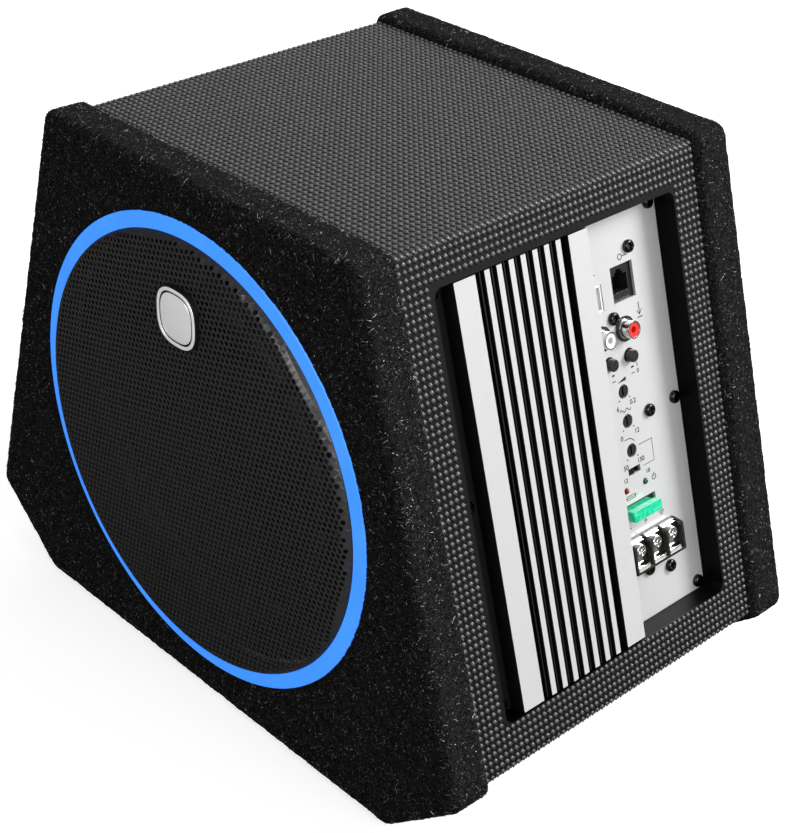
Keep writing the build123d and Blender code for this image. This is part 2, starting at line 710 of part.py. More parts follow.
def control_bodies():
    """Board-mounted bodies of the two push switches and three potentiometers."""
    bodies = []
    for button in (PHASE_BUTTON, AUTO_BUTTON):
        body = plate_block(button, (8.0, 8.0), (PLATE_BACK_D, BOARD_D))
        bore = (PLATE_BACK_D - 1, PLATE_BACK_D + 5.0 + BUTTON_TRAVEL)
        bodies.append(body - post(button, BUTTON_R + RUNNING_CLEARANCE, bore))
    for knob in (GAIN_KNOB, BASS_KNOB, CROSSOVER_KNOB):
        body = plate_block(knob, (9.5, 9.5), (PLATE_D + 5.2, BOARD_D))
        bore = (PLATE_D + 4, PLATE_D + 9.2)
        bodies.append(body - post(knob, KNOB_SHAFT_R + RUNNING_CLEARANCE, bore))
    return AMP * Compound(bodies)


def knob(centre):
    """Recessed level knob with a screwdriver slot and a shaft."""
    head = post(centre, KNOB_R, (PLATE_D + 0.4, PLATE_D + 5.0))
    head = fillet(head.edges().sort_by(Axis.Z)[-1], 0.4)
    head -= plate_block(centre, (1.0, 4.6), (PLATE_D, PLATE_D + 1.6))
    return AMP * (head + post(centre, KNOB_SHAFT_R, (PLATE_D + 5.0, PLATE_D + 9.0)))


def slope_switch_body():
    """Body of the slide switch, with the channel its slider runs in."""
    body = plate_block(SWITCH, (12.0, 7.0), (PLATE_BACK_D, BOARD_D))
    return AMP * (body - plate_block(SWITCH, (SWITCH_SLOT[0], SWITCH_SLIDER[1] + 0.1), (PLATE_D, PLATE_BACK_D + 4)))


def slope_switch_slider():
    """Slider of the slide switch, at the end of its channel nearest the front."""
    centre = (SWITCH[0] - SWITCH_TRAVEL / 2, SWITCH[1])
    slider = plate_block(centre, SWITCH_SLIDER, (PLATE_D + 0.3, PLATE_BACK_D + 3.9))
    for groove in (-1.0, 0.0, 1.0):
        spot = (centre[0] + groove, centre[1])
        slider -= plate_block(spot, (0.4, SWITCH_SLIDER[1] + 1), (PLATE_D, PLATE_D + 0.8))
    return AMP * slider


def led(centre):
    """Domed indicator lens."""
    lens = post(centre, LED_R, (PLATE_D - LED_R * 0.8, BOARD_D))
    return AMP * fillet(lens.edges().sort_by(Axis.Z)[-1], LED_R * 0.95)


def fuse_holder():
    """Blade-fuse holder set in its slot in the plate."""
    body = block(grown(FUSE_SLOT_U, -0.2), grown(FUSE_SLOT_V, -0.2), (PLATE_BACK_D, BOARD_D))
    for side in (-1, 1):
        centre = (FUSE[0] + side * FUSE_BLADE_SPACING / 2, FUSE[1])
        body -= plate_block(centre, (FUSE_BLADE[0] + 0.2, FUSE_BLADE[1] + 0.2), (PLATE_D, FUSE_BLADE_END_D + 1))
    return AMP * body


def fuse():
    """Blade fuse: a tinted body with two blades."""
    cap_end_d = FUSE_TOP_D + 3.6
    cap = plate_block(FUSE, FUSE_SIZE, (FUSE_TOP_D, cap_end_d))
    cap = fillet(cap.edges().filter_by(Axis.Z), 0.8)
    body = cap + plate_block(FUSE, (FUSE_SIZE[0] - 1.6, FUSE_SIZE[1] - 1.4), (cap_end_d, PLATE_BACK_D - 0.2))
    for side in (-1, 1):
        centre = (FUSE[0] + side * FUSE_BLADE_SPACING / 2, FUSE[1])
        body += plate_block(centre, FUSE_BLADE, (PLATE_BACK_D - 0.2, FUSE_BLADE_END_D))
    return AMP * body


# ---------------------------------------------------------------- power terminals


def terminal_pitch():
    """Distance between the power terminals."""
    return (TERMINAL_U[1] - TERMINAL_U[0] - TERMINAL_WALL) / TERMINALS


def terminal_centre(index):
    """Centre of one terminal's screw."""
    return (TERMINAL_U[0] + TERMINAL_WALL / 2 + (index + 0.5) * terminal_pitch(), TERMINAL_SCREW_V)


def terminal_block():
    """Barrier block: a moulding with a cell for each terminal, open on its upper side."""
    body = block(TERMINAL_U, TERMINAL_V, (TERMINAL_TOP_D, BOARD_D - 4.0))
    cell_v = (TERMINAL_V[0] - 1, TERMINAL_V[1] - TERMINAL_WALL)
    cell_width = terminal_pitch() - TERMINAL_WALL
    for i in range(TERMINALS):
        u, v = terminal_centre(i)
        body -= block(grown((u, u), cell_width / 2), cell_v, (TERMINAL_TOP_D - 1, TERMINAL_FLOOR_D))
        body -= post((u, v), TERMINAL_SHANK_R + RUNNING_CLEARANCE, (TERMINAL_FLOOR_D - 1, TERMINAL_SHANK_END_D + 1))
    lean = Plane.YZ * make_face(
        Polyline(
            (-TERMINAL_V[0] + 1, -TERMINAL_TOP_D + 1),
            (-TERMINAL_V[0] - TERMINAL_LEAN, -TERMINAL_TOP_D + 1),
            (-TERMINAL_V[0] - TERMINAL_LEAN, -TERMINAL_TOP_D),
            (-TERMINAL_V[0], -TERMINAL_FLOOR_D),
            (-TERMINAL_V[0] + 1, -TERMINAL_FLOOR_D),
            close=True,
        )
    )
    cutter = extrude(Pos(TERMINAL_U[0] - 1, 0, 0) * lean, TERMINAL_U[1] - TERMINAL_U[0] + 2)
    return AMP * (body - cutter)


def terminal_tabs():
    """Plated tabs on the floors of the terminal cells, turned up against the lower wall."""
    width = terminal_pitch() - TERMINAL_WALL - 0.4
    depth = (TERMINAL_FLOOR_D - TERMINAL_TAB_T, TERMINAL_FLOOR_D)
    foot_v = TERMINAL_V[1] - TERMINAL_WALL - 0.2
    tabs = []
    for i in range(TERMINALS):
        u, v = terminal_centre(i)
        tab = block(grown((u, u), width / 2), (TERMINAL_V[0] + 0.4, foot_v), depth)
        tab += block(grown((u, u), width / 2), (foot_v - TERMINAL_TAB_T, foot_v), (TERMINAL_TAB_TOP_D, depth[1]))
        tabs.append(tab - post((u, v), TERMINAL_SHANK_R + RUNNING_CLEARANCE, grown(depth, 1)))
    return AMP * Compound(tabs)


def terminal_clamp(index):
    """Captive clamp plate under one terminal screw."""
    centre = terminal_centre(index)
    u = centre[0]
    plate = block(grown((u, u), CLAMP_WIDTH / 2), CLAMP_V, CLAMP_D)
    return AMP * (plate - post(centre, TERMINAL_SHANK_R + RUNNING_CLEARANCE, grown(CLAMP_D, 1)))


def terminal_screw(index):
    """One terminal's screw, with a cross recess."""
    centre = terminal_centre(index)
    seat = CLAMP_D[0]
    head = post(centre, 3.4, (seat - 2.0, seat))
    head = fillet(head.edges().sort_by(Axis.Z)[-1], 0.9)
    top = (seat - 3.0, seat - 0.8)
    head -= plate_block(centre, (4.4, 0.9), top) + plate_block(centre, (0.9, 4.4), top)
    return AMP * (head + post(centre, TERMINAL_SHANK_R, (seat, TERMINAL_SHANK_END_D)))


# ---------------------------------------------------------------- every piece


def main():
    os.makedirs("parts", exist_ok=True)
    baffle, front_carpet = front_slab_pieces()
    rear_slab, rear_carpet = rear_slab_pieces()
    top, amp_side, right_corner, bottom, left_corner, left_side = body_panels()
    top_plate, magnet, back_plate = motor_pieces()
    pieces = {
        "front_baffle": baffle,
        "front_carpet": front_carpet,
        "rear_slab": rear_slab,
        "rear_carpet": rear_carpet,
        "top_panel": top,
        "bottom_panel": bottom,
        "left_side_panel": left_side,
        "amp_side_panel": amp_side - AMP * bay(VINYL, (-BOARD, 2 * BOARD)),
        "lower_corner_panels": Compound([left_corner, right_corner]),
        "vinyl_wrap": vinyl_wrap(),
        "amp_mounting_frame": mounting_frame(),
        "woofer_basket": basket(),
        "woofer_surround": surround(),
        "woofer_cone": cone(),
        "dust_cap": dust_cap(),
        "voice_coil": voice_coil(),
        "woofer_spider": spider(),
        "motor_top_plate": top_plate,
        "motor_magnet": magnet,
        "motor_back_plate": back_plate,
        "woofer_terminals": woofer_terminals(),
        "woofer_screws": woofer_screws(),
        "speaker_wires": speaker_wires(),
        "grille_mesh": grille_mesh(),
        "grille_ring": grille_ring(),
        "badge": badge(),
        "heatsink": heatsink(),
        "control_plate": control_plate(),
        "plate_screws": plate_screws(),
        "amp_rear_cover": amp_rear_cover(),
        "circuit_board": circuit_board(),
        "power_transformer": power_transformer(),
        "filter_capacitors": filter_capacitors(),
        "power_transistors": power_transistors(),
        "remote_jack": remote_jack(),
        "rca_housing": rca_housing(),
        "rca_shells": AMP * Compound([rca_shell(RCA_RED), rca_shell(RCA_WHITE)]),
        "rca_insert_red": rca_insert(RCA_RED),
        "rca_insert_white": rca_insert(RCA_WHITE),
        "high_level_connector": high_level_connector(),
        "phase_button": button_cap(PHASE_BUTTON),
        "auto_start_button": button_cap(AUTO_BUTTON),
        "control_bodies": control_bodies(),
        "gain_knob": knob(GAIN_KNOB),
        "bass_knob": knob(BASS_KNOB),
        "crossover_knob": knob(CROSSOVER_KNOB),
        "slope_switch_body": slope_switch_body(),
        "slope_switch_slider": slope_switch_slider(),
        "power_led": led(POWER_LED),
        "protect_led": led(PROTECT_LED),
        "fuse_holder": fuse_holder(),
        "fuse": fuse(),
        "terminal_block": terminal_block(),
        "terminal_tabs": terminal_tabs(),
    }
    for i in range(TERMINALS):
        pieces[f"terminal_clamp_{i + 1}"] = terminal_clamp(i)
        pieces[f"terminal_screw_{i + 1}"] = terminal_screw(i)
    for name, piece in pieces.items():
        export(name, piece)


main()
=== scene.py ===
import json
import math

import bmesh
import bpy
import numpy as np
from mathutils import Matrix, Vector

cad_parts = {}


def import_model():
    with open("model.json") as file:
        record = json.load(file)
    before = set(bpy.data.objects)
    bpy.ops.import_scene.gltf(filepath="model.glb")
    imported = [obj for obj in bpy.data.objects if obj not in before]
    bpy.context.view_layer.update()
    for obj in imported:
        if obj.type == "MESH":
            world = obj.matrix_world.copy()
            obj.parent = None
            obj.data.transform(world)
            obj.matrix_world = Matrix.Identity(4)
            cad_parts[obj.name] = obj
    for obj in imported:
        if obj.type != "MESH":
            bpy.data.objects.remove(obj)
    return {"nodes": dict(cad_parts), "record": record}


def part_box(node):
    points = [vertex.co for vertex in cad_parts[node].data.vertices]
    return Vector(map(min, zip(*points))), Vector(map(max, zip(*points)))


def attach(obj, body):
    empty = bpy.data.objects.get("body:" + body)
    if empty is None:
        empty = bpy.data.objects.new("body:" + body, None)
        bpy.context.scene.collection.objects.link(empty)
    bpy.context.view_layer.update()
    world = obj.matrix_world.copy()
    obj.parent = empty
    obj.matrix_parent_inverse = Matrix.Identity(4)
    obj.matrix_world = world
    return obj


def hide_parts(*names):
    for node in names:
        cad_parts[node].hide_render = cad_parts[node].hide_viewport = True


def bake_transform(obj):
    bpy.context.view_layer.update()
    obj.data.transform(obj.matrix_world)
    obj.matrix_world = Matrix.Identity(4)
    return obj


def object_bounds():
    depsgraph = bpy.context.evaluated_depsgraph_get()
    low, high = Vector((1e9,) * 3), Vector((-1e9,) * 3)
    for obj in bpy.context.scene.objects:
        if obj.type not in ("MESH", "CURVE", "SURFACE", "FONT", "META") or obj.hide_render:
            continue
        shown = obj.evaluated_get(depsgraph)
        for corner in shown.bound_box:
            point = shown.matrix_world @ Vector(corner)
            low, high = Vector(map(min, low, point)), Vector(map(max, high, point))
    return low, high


# A powered car subwoofer: a hexagonal box with carpeted end slabs, a vinyl-wrapped body,
# a perforated grille in a blue ring, and an amplifier sunk in the sloping wall on +X.
# Everything is in metres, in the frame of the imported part.

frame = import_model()
cad_low, cad_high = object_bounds()
NODES = frame["nodes"]
MM = 0.001
SEED = 2024

# Box outline seen from the front, corners clockwise from the top left, as (x, z) in mm
OUTLINE = [(-106.07, 268.5), (106.07, 268.5), (173.31, 37.19), (130.1, 0.0), (-130.1, 0.0), (-173.31, 37.19)]
SLAB_CORNER_R = 7.0
SLAB_EDGE_R = 4.0
BODY_INSET = 3.9
BODY_EDGE_ROUNDING = 2.5
RING_HEIGHT = 133.7
RING_OUTER_R = 115.0
RING_INNER_R = 107.4
RING_FACE_DEPTH = 2.0
GRILLE_RIM_R = 4.4
GRILLE_EDGE_PROUD = 4.6
GRILLE_CENTRE_PROUD = 7.0
GRILLE_SHEET = 0.6
GRILLE_SKIRT_DEPTH = 8.0

front_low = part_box("front_carpet")[0]
rear_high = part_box("rear_carpet")[1]
vinyl_low, vinyl_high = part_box("vinyl_wrap")
FRONT_Y = front_low.y / MM
PILE_STEP = 1.35


# ---------------------------------------------------------------- shared geometry


def inset_outline(points, inset):
    """Corners of a clockwise (x, z) outline moved inwards by inset."""
    moved = []
    count = len(points)
    for i in range(count):
        corner = Vector(points[i])
        before = (corner - Vector(points[i - 1])).normalized()
        after = (Vector(points[(i + 1) % count]) - corner).normalized()
        n1 = Vector((before.y, -before.x))
        n2 = Vector((after.y, -after.x))
        moved.append(corner + (n1 + n2) * (inset / (1 + n1.dot(n2))))
    return moved


def rounded_outline(points, radius, step):
    """Points about step apart round an outline whose corners have the given radius, with outward normals."""
    count = len(points)
    path, normals = [], []
    for i in range(count):
        corner = Vector(points[i])
        before = (corner - Vector(points[i - 1])).normalized()
        after = (Vector(points[(i + 1) % count]) - corner).normalized()
        n1 = Vector((-before.y, before.x))
        n2 = Vector((-after.y, after.x))
        turn = math.acos(max(-1, min(1, n1.dot(n2))))
        reach = radius * math.tan(turn / 2)
        centre = corner - before * reach - n1 * radius
        arcs = max(2, round(radius * turn / step))
        for k in range(arcs + 1):
            t = k / arcs
            n = (n1 * math.sin((1 - t) * turn) + n2 * math.sin(t * turn)) / math.sin(turn)
            path.append(centre + n * radius)
            normals.append(n)
        end = path[-1]
        following = Vector(points[(i + 1) % count])
        ahead = (Vector(points[(i + 2) % count]) - following).normalized()
        n3 = Vector((-ahead.y, ahead.x))
        next_turn = math.acos(max(-1, min(1, n2.dot(n3))))
        run = (following - end).length - radius * math.tan(next_turn / 2)
        steps = max(1, round(run / step))
        for k in range(1, steps):
            path.append(end + after * (run * k / steps))
            normals.append(n2)
    return np.array([tuple(p) for p in path]), np.array([tuple(n) for n in normals])


def new_mesh(name, verts, faces, smooth=True):
    """Object from vertex and face lists, linked to the scene."""
    mesh = bpy.data.meshes.new(name)
    mesh.from_pydata([tuple(v) for v in verts], [], faces)
    mesh.validate()
    mesh.update()
    if smooth:
        mesh.shade_smooth()
    obj = bpy.data.objects.new(name, mesh)
    bpy.context.scene.collection.objects.link(obj)
    return obj


def numpy_mesh(name, verts, faces, smooth=True):
    """Object from a vertex array and a face array whose rows all have the same length."""
    verts = np.asarray(verts, np.float32)
    faces = np.asarray(faces, np.int32)
    mesh = bpy.data.meshes.new(name)
    mesh.vertices.add(len(verts))
    mesh.vertices.foreach_set("co", verts.ravel())
    corners = faces.shape[1]
    mesh.loops.add(faces.size)
    mesh.loops.foreach_set("vertex_index", faces.ravel())
    mesh.polygons.add(len(faces))
    mesh.polygons.foreach_set("loop_start", np.arange(0, faces.size, corners, dtype=np.int32))
    mesh.polygons.foreach_set("loop_total", np.full(len(faces), corners, np.int32))
    mesh.update(calc_edges=True)
    if smooth:
        mesh.shade_smooth()
    obj = bpy.data.objects.new(name, mesh)
    bpy.context.scene.collection.objects.link(obj)
    return obj


def face_outwards(obj, weld=0.0):
    """Turn every face outwards, first joining points closer than weld metres."""
    bm = bmesh.new()
    bm.from_mesh(obj.data)
    if weld:
        bmesh.ops.remove_doubles(bm, verts=bm.verts, dist=weld)
    bmesh.ops.recalc_face_normals(bm, faces=bm.faces)
    bm.to_mesh(obj.data)
    bm.free()
    return obj


def paint(obj, material):
    """Give an object one material."""
    obj.data.materials.clear()
    obj.data.materials.append(material)
    return obj


# ---------------------------------------------------------------- amplifier wall frame

WALL_TOP = inset_outline(OUTLINE, BODY_INSET)[1]
WALL_FOOT = inset_outline(OUTLINE, BODY_INSET)[2]
DOWN_SLOPE = Vector((WALL_FOOT.x - WALL_TOP.x, 0, WALL_FOOT.y - WALL_TOP.y)).normalized()
WALL_NORMAL = Vector((-DOWN_SLOPE.z, 0, DOWN_SLOPE.x))
PLATE_D = 12.0
RIB_TOP_D = 0.6
BAY_MOUTH_D = 0.5
BAY_FLOOR_D = 15.0
BAY_U = (39.8, 188.9)
BAY_V = (18.4, 216.0)


def wall_point(u, v, d):
    """Point on the amplifier wall: u back from the front face, v down the slope, d into the wall."""
    p = Vector((WALL_TOP.x, FRONT_Y + u, WALL_TOP.y)) + DOWN_SLOPE * v - WALL_NORMAL * d
    return p * MM


# ---------------------------------------------------------------- materials


class Finish:
    """Builds one procedural material around a Principled shader."""

    def __init__(self, name, colour, rough, metallic=0.0):
        self.material = bpy.data.materials.new(name)
        self.material.use_nodes = True
        self.material.diffuse_color = (*colour, 1)
        self.nodes = self.material.node_tree.nodes
        self.links = self.material.node_tree.links
        self.bsdf = self.nodes["Principled BSDF"]
        self.set("Base Color", (*colour, 1))
        self.set("Roughness", rough)
        self.set("Metallic", metallic)
        self.coord = self.nodes.new("ShaderNodeTexCoord").outputs["Object"]

    def set(self, socket, value):
        """Fix or link one input of the Principled shader."""
        if isinstance(value, bpy.types.NodeSocket):
            self.links.new(value, self.bsdf.inputs[socket])
        else:
            self.bsdf.inputs[socket].default_value = value

    def node(self, kind, inputs=None, **settings):
        """A node with its settings and inputs, given by name or number."""
        made = self.nodes.new(kind)
        for key, value in settings.items():
            setattr(made, key, value)
        for key, value in (inputs or {}).items():
            if isinstance(value, bpy.types.NodeSocket):
                self.links.new(value, made.inputs[key])
            else:
                made.inputs[key].default_value = value
        return made

    def stretch(self, scale, rotation=(0, 0, 0)):
        """Object coordinates scaled unevenly, for grain that runs one way."""
        turned = self.node("ShaderNodeMapping", {"Vector": self.coord, "Rotation": rotation})
        return self.node("ShaderNodeMapping", {"Vector": turned.outputs[0], "Scale": scale}).outputs[0]

    def noise(self, scale, detail=3.0, vector=None, roughness=0.55):
        """Value of a noise texture, scale being per metre."""
        inputs = {"Vector": vector or self.coord, "Scale": scale, "Detail": detail, "Roughness": roughness}
        return self.node("ShaderNodeTexNoise", inputs).outputs[0]

    def voronoi(self, scale, vector=None):
        """Distance of a Voronoi texture, scale being per metre."""
        inputs = {"Vector": vector or self.coord, "Scale": scale}
        return self.node("ShaderNodeTexVoronoi", inputs).outputs["Distance"]

    def remap(self, value, low, high, to_low, to_high):
        """Value remapped from one range to another and clamped."""
        inputs = {0: value, 1: low, 2: high, 3: to_low, 4: to_high}
        return self.node("ShaderNodeMapRange", inputs).outputs[0]

    def mix(self, factor, first, second):
        """Colour mixed from first to second by factor."""
        made = self.node("ShaderNodeMix", data_type="RGBA")
        pairs = ((0, factor), (6, first), (7, second))
        for index, value in pairs:
            if isinstance(value, bpy.types.NodeSocket):
                self.links.new(value, made.inputs[index])
            elif index == 0:
                made.inputs[index].default_value = value
            else:
                made.inputs[index].default_value = (*value, 1)
        return made.outputs[2]

    def maths(self, operation, first, second=0.0):
        """One arithmetic node."""
        return self.node("ShaderNodeMath", {0: first, 1: second}, operation=operation).outputs[0]

    def bump(self, height, strength, distance):
        """Add a bump to the shader's normal, distance in metres."""
        inputs = {"Height": height, "Strength": strength, "Distance": distance}
        made = self.node("ShaderNodeBump", inputs)
        if self.bsdf.inputs["Normal"].is_linked:
            self.links.new(self.bsdf.inputs["Normal"].links[0].from_socket, made.inputs["Normal"])
        self.set("Normal", made.outputs[0])

    def soften(self, radius):
        """Round the shading of hard edges by a radius in metres."""
        self.set("Normal", self.node("ShaderNodeBevel", {"Radius": radius}, samples=4).outputs[0])

    def glow(self, colour, strength):
        """Light added for the camera alone, which falls on nothing else."""
        seen = self.node("ShaderNodeLightPath").outputs["Is Camera Ray"]
        self.set("Emission Color", colour)
        self.set("Emission Strength", self.remap(seen, 0.0, 1.0, 0.0, strength))

    def facing(self, direction, low, high):
        """1 where the surface faces a direction, 0 where it turns away."""
        normal = self.node("ShaderNodeTexCoord").outputs["Normal"]
        dot = self.node("ShaderNodeVectorMath", {0: normal, 1: direction}, operation="DOT_PRODUCT")
        return self.remap(dot.outputs["Value"], low, high, 0.0, 1.0)


def moulded(name, colour, rough, grain=2500.0, edge=0.00015):
    """Moulded plastic or rubber: faint mottling, fine grain and softened edges."""
    f = Finish(name, colour, rough)
    lighter = tuple(min(1.0, c * 1.35 + 0.004) for c in colour)
    f.set("Base Color", f.mix(f.noise(180.0), colour, lighter))
    f.set("Roughness", f.remap(f.noise(700.0), 0.3, 0.7, rough - 0.07, rough + 0.09))
    f.soften(edge)
    f.bump(f.noise(grain, 2.0), 0.25, 0.00004)
    return f


def plated(name, colour, rough, edge=0.00015):
    """Plated or bare metal with faint tool marks and tarnish."""
    f = Finish(name, colour, rough, 1.0)
    darker = tuple(c * 0.8 for c in colour)
    f.set("Base Color", f.mix(f.noise(260.0, 4.0), colour, darker))
    f.set("Roughness", f.remap(f.noise(1200.0, 4.0), 0.3, 0.7, rough * 0.7, rough * 1.4))
    f.soften(edge)
    f.bump(f.noise(1800.0, 3.0), 0.15, 0.00004)
    return f


def carpet_finish():
    """Needle-punched black carpet: a dark matted ground with pale strands painted through it as glints of
    light on its fibres.
    """
    f = Finish("carpet", (0.01, 0.01, 0.011), 0.95)
    ground = f.remap(f.noise(700.0, 4.0), 0.35, 0.7, 0.0, 1.0)
    dark = f.mix(ground, (0.003, 0.003, 0.0032), (0.022, 0.022, 0.023))
    strands = f.voronoi(1500.0, f.stretch((1.0, 1.0, 0.35), (0.5, 0.3, 0.9)))
    crossing = f.voronoi(1500.0, f.stretch((0.35, 1.0, 1.0), (0.2, 0.9, 0.4)))
    lit = [f.remap(distance, 0.05, 0.28, 1.0, 0.0) for distance in (strands, crossing)]
    glint = f.maths("MAXIMUM", *lit)
    patch = f.maths("MULTIPLY", glint, f.remap(f.noise(900.0, 3.0), 0.42, 0.62, 0.0, 1.0))
    # painted highlight: the glinting strands, in patches, lighten the dark ground
    f.set("Base Color", f.mix(patch, dark, (0.13, 0.13, 0.135)))
    f.set("Specular IOR Level", 0.05)
    f.bump(f.noise(1500.0, 5.0, roughness=0.7), 1.0, 0.0009)
    f.bump(glint, 0.6, 0.0003)
    return f.material


def fibre_finish():
    """Single carpet fibres: most near black, some grey, a few painted near white as glints of light."""
    f = Finish("carpet_fibre", (0.03, 0.03, 0.032), 0.55)
    each = f.node("ShaderNodeNewGeometry").outputs["Random Per Island"]
    grey = f.mix(f.remap(each, 0.25, 0.75, 0.0, 1.0), (0.006, 0.006, 0.0065), (0.15, 0.15, 0.155))
    # painted highlight: fibres with the highest random value go near white as glints, dimmed in patches
    glint_patchiness = f.remap(f.noise(600.0, 2.0), 0.35, 0.7, 0.35, 1.0)
    bright = f.maths("MULTIPLY", f.remap(each, 0.8, 1.0, 0.0, 1.0), glint_patchiness)
    f.set("Base Color", f.mix(bright, grey, (0.75, 0.75, 0.77)))
    f.set("Specular IOR Level", 0.3)
    f.bump(f.noise(4000.0), 0.2, 0.0001)
    return f.material


def bay_wall_mask(f):
    """1 on the sunk walls of the amplifier bay, 0 on the rest of the body; it places the vinyl's painted
    shade.
    """
    away = f.node("ShaderNodeVectorMath", {0: f.coord, 1: tuple(WALL_NORMAL)}, operation="DOT_PRODUCT")
    along = f.node("ShaderNodeVectorMath", {0: f.coord, 1: tuple(DOWN_SLOPE)}, operation="DOT_PRODUCT")
    mouth = wall_point(0, 0, BAY_MOUTH_D).dot(WALL_NORMAL)
    floor_level = wall_point(0, 0, BAY_FLOOR_D).dot(WALL_NORMAL)
    upper = wall_point(0, BAY_V[0] - 1.0, 0).dot(DOWN_SLOPE)
    lower = wall_point(0, BAY_V[1] + 1.0, 0).dot(DOWN_SLOPE)
    sunk = f.maths("LESS_THAN", away.outputs["Value"], mouth)
    shallow = f.maths("GREATER_THAN", away.outputs["Value"], floor_level)
    below = f.maths("GREATER_THAN", along.outputs["Value"], upper)
    above = f.maths("LESS_THAN", along.outputs["Value"], lower)
    return f.maths("MULTIPLY", f.maths("MULTIPLY", sunk, shallow), f.maths("MULTIPLY", below, above))


def vinyl_finish(name, low, high, shine):
    """Black upholstery vinyl with a fine leather grain, and painted shade on the bay's sunk walls, near black
    and less shiny there.
    """
    f = Finish(name, low, 0.42)
    bay_painted_shade = bay_wall_mask(f)
    # painted shade: the sunk walls of the bay go near black and lose most of their shine
    f.set("Base Color", f.mix(bay_painted_shade, f.mix(f.noise(150.0, 4.0), low, high), (0.0012, 0.0012, 0.0012)))
    f.set("Roughness", f.remap(f.noise(1400.0, 3.0), 0.3, 0.7, 0.3, 0.46))
    f.set("Specular IOR Level", f.remap(bay_painted_shade, 0.0, 1.0, shine, 0.05))
    f.bump(f.voronoi(2600.0), 0.3, 0.0001)
    f.bump(f.noise(5200.0, 2.0), 0.2, 0.00004)
    return f.material


def black_steel_finish(name, low, high, shine):
    """Powder-coated steel: fine orange peel on satin black."""
    f = Finish(name, low, 0.38)
    f.set("Base Color", f.mix(f.noise(300.0), low, high))
    f.set("Roughness", f.remap(f.noise(1500.0), 0.3, 0.7, 0.3, 0.48))
    f.set("Specular IOR Level", shine)
    f.bump(f.noise(2400.0, 3.0), 0.3, 0.00005)
    return f.material


def ring_finish():
    """Blue enamel, very slightly uneven, with painted shade on its sides behind the face and a painted glow.
    """
    f = Finish("ring_blue", (0.06, 0.28, 0.95), 0.42)
    enamel = f.mix(f.noise(45.0, 2.0), (0.035, 0.235, 0.95), (0.06, 0.29, 0.99))
    # painted shade: behind its front face the ring goes near black
    depth = f.node("ShaderNodeSeparateXYZ", {0: f.coord}).outputs[1]
    face_end = (FRONT_Y + RING_FACE_DEPTH) * MM
    enamel_and_painted_shade = f.mix(f.remap(depth, face_end, face_end + 0.0005, 0.0, 1.0), enamel, (0.004, 0.004, 0.004))
    f.set("Base Color", enamel_and_painted_shade)
    # painted glow: the enamel lights itself for the camera, brighter than the lamps make it
    f.glow(enamel_and_painted_shade, 0.8)
    f.set("Roughness", f.remap(f.noise(900.0), 0.3, 0.7, 0.38, 0.5))
    f.soften(0.0003)
    f.bump(f.noise(1600.0), 0.15, 0.00004)
    return f.material


def heatsink_finish():
    """Black anodised extrusion whose rib tops are machined bright."""
    f = Finish("heatsink", (0.01, 0.01, 0.01), 0.35)
    height = f.node("ShaderNodeVectorMath", {0: f.coord, 1: tuple(WALL_NORMAL)}, operation="DOT_PRODUCT")
    top = wall_point(0, 0, RIB_TOP_D).dot(WALL_NORMAL)
    high = f.remap(height.outputs["Value"], top - 0.00025, top - 0.0002, 0.0, 1.0)
    bright = f.maths("MULTIPLY", high, f.facing(tuple(WALL_NORMAL), 0.9, 0.95))
    lines = f.noise(900.0, 4.0, f.stretch((1.0, 6.0, 0.03)))
    silver = f.mix(lines, (0.6, 0.6, 0.6), (0.7, 0.7, 0.7))
    black = f.mix(f.noise(500.0), (0.005, 0.005, 0.005), (0.011, 0.011, 0.012))
    f.set("Base Color", f.mix(bright, black, silver))
    f.set("Metallic", f.remap(bright, 0.0, 1.0, 0.3, 0.25))
    uneven = f.remap(lines, 0.3, 0.7, -0.04, 0.06)
    f.set("Roughness", f.maths("ADD", f.remap(bright, 0.0, 1.0, 0.42, 0.38), uneven))
    f.bump(lines, 0.2, 0.00005)
    return f.material


def plate_finish():
    """Satin aluminium with a fine vertical brush."""
    f = Finish("satin_silver", (0.8, 0.8, 0.8), 0.4, 0.3)
    lines = f.noise(1400.0, 4.0, f.stretch((1.0, 5.0, 0.04)))
    f.set("Base Color", f.mix(lines, (0.64, 0.64, 0.645), (0.73, 0.73, 0.73)))
    f.set("Roughness", f.remap(lines, 0.3, 0.7, 0.34, 0.46))
    f.soften(0.00015)
    f.bump(lines, 0.12, 0.00004)
    return f.material


def badge_finish():
    """Satin silver badge face with a painted glow that brightens it for the camera."""
    f = Finish("badge_metal", (0.8, 0.8, 0.8), 0.3, 0.35)
    lines = f.noise(1500.0, 3.0, f.stretch((0.05, 1.0, 5.0)))
    f.set("Base Color", f.mix(lines, (0.78, 0.78, 0.79), (0.93, 0.93, 0.93)))
    f.set("Roughness", f.remap(lines, 0.3, 0.7, 0.24, 0.38))
    # painted glow: extra light on the badge for the camera alone
    f.glow((1, 1, 1, 1), 0.28)
    f.bump(lines, 0.15, 0.00003)
    return f.material


def paper_finish():
    """Pressed black paper with felted fibres."""
    f = Finish("cone_pulp", (0.02, 0.02, 0.02), 0.8)
    f.set("Base Color", f.mix(f.noise(350.0, 5.0), (0.004, 0.004, 0.004), (0.016, 0.015, 0.014)))
    f.bump(f.noise(1300.0, 6.0, roughness=0.7), 0.6, 0.0002)
    return f.material


def board_finish():
    """Raw medium-density fibreboard."""
    f = Finish("fibreboard", (0.42, 0.30, 0.19), 0.8)
    f.set("Base Color", f.mix(f.noise(700.0, 6.0), (0.33, 0.23, 0.14), (0.5, 0.37, 0.24)))
    f.bump(f.noise(1800.0, 5.0), 0.5, 0.0001)
    return f.material


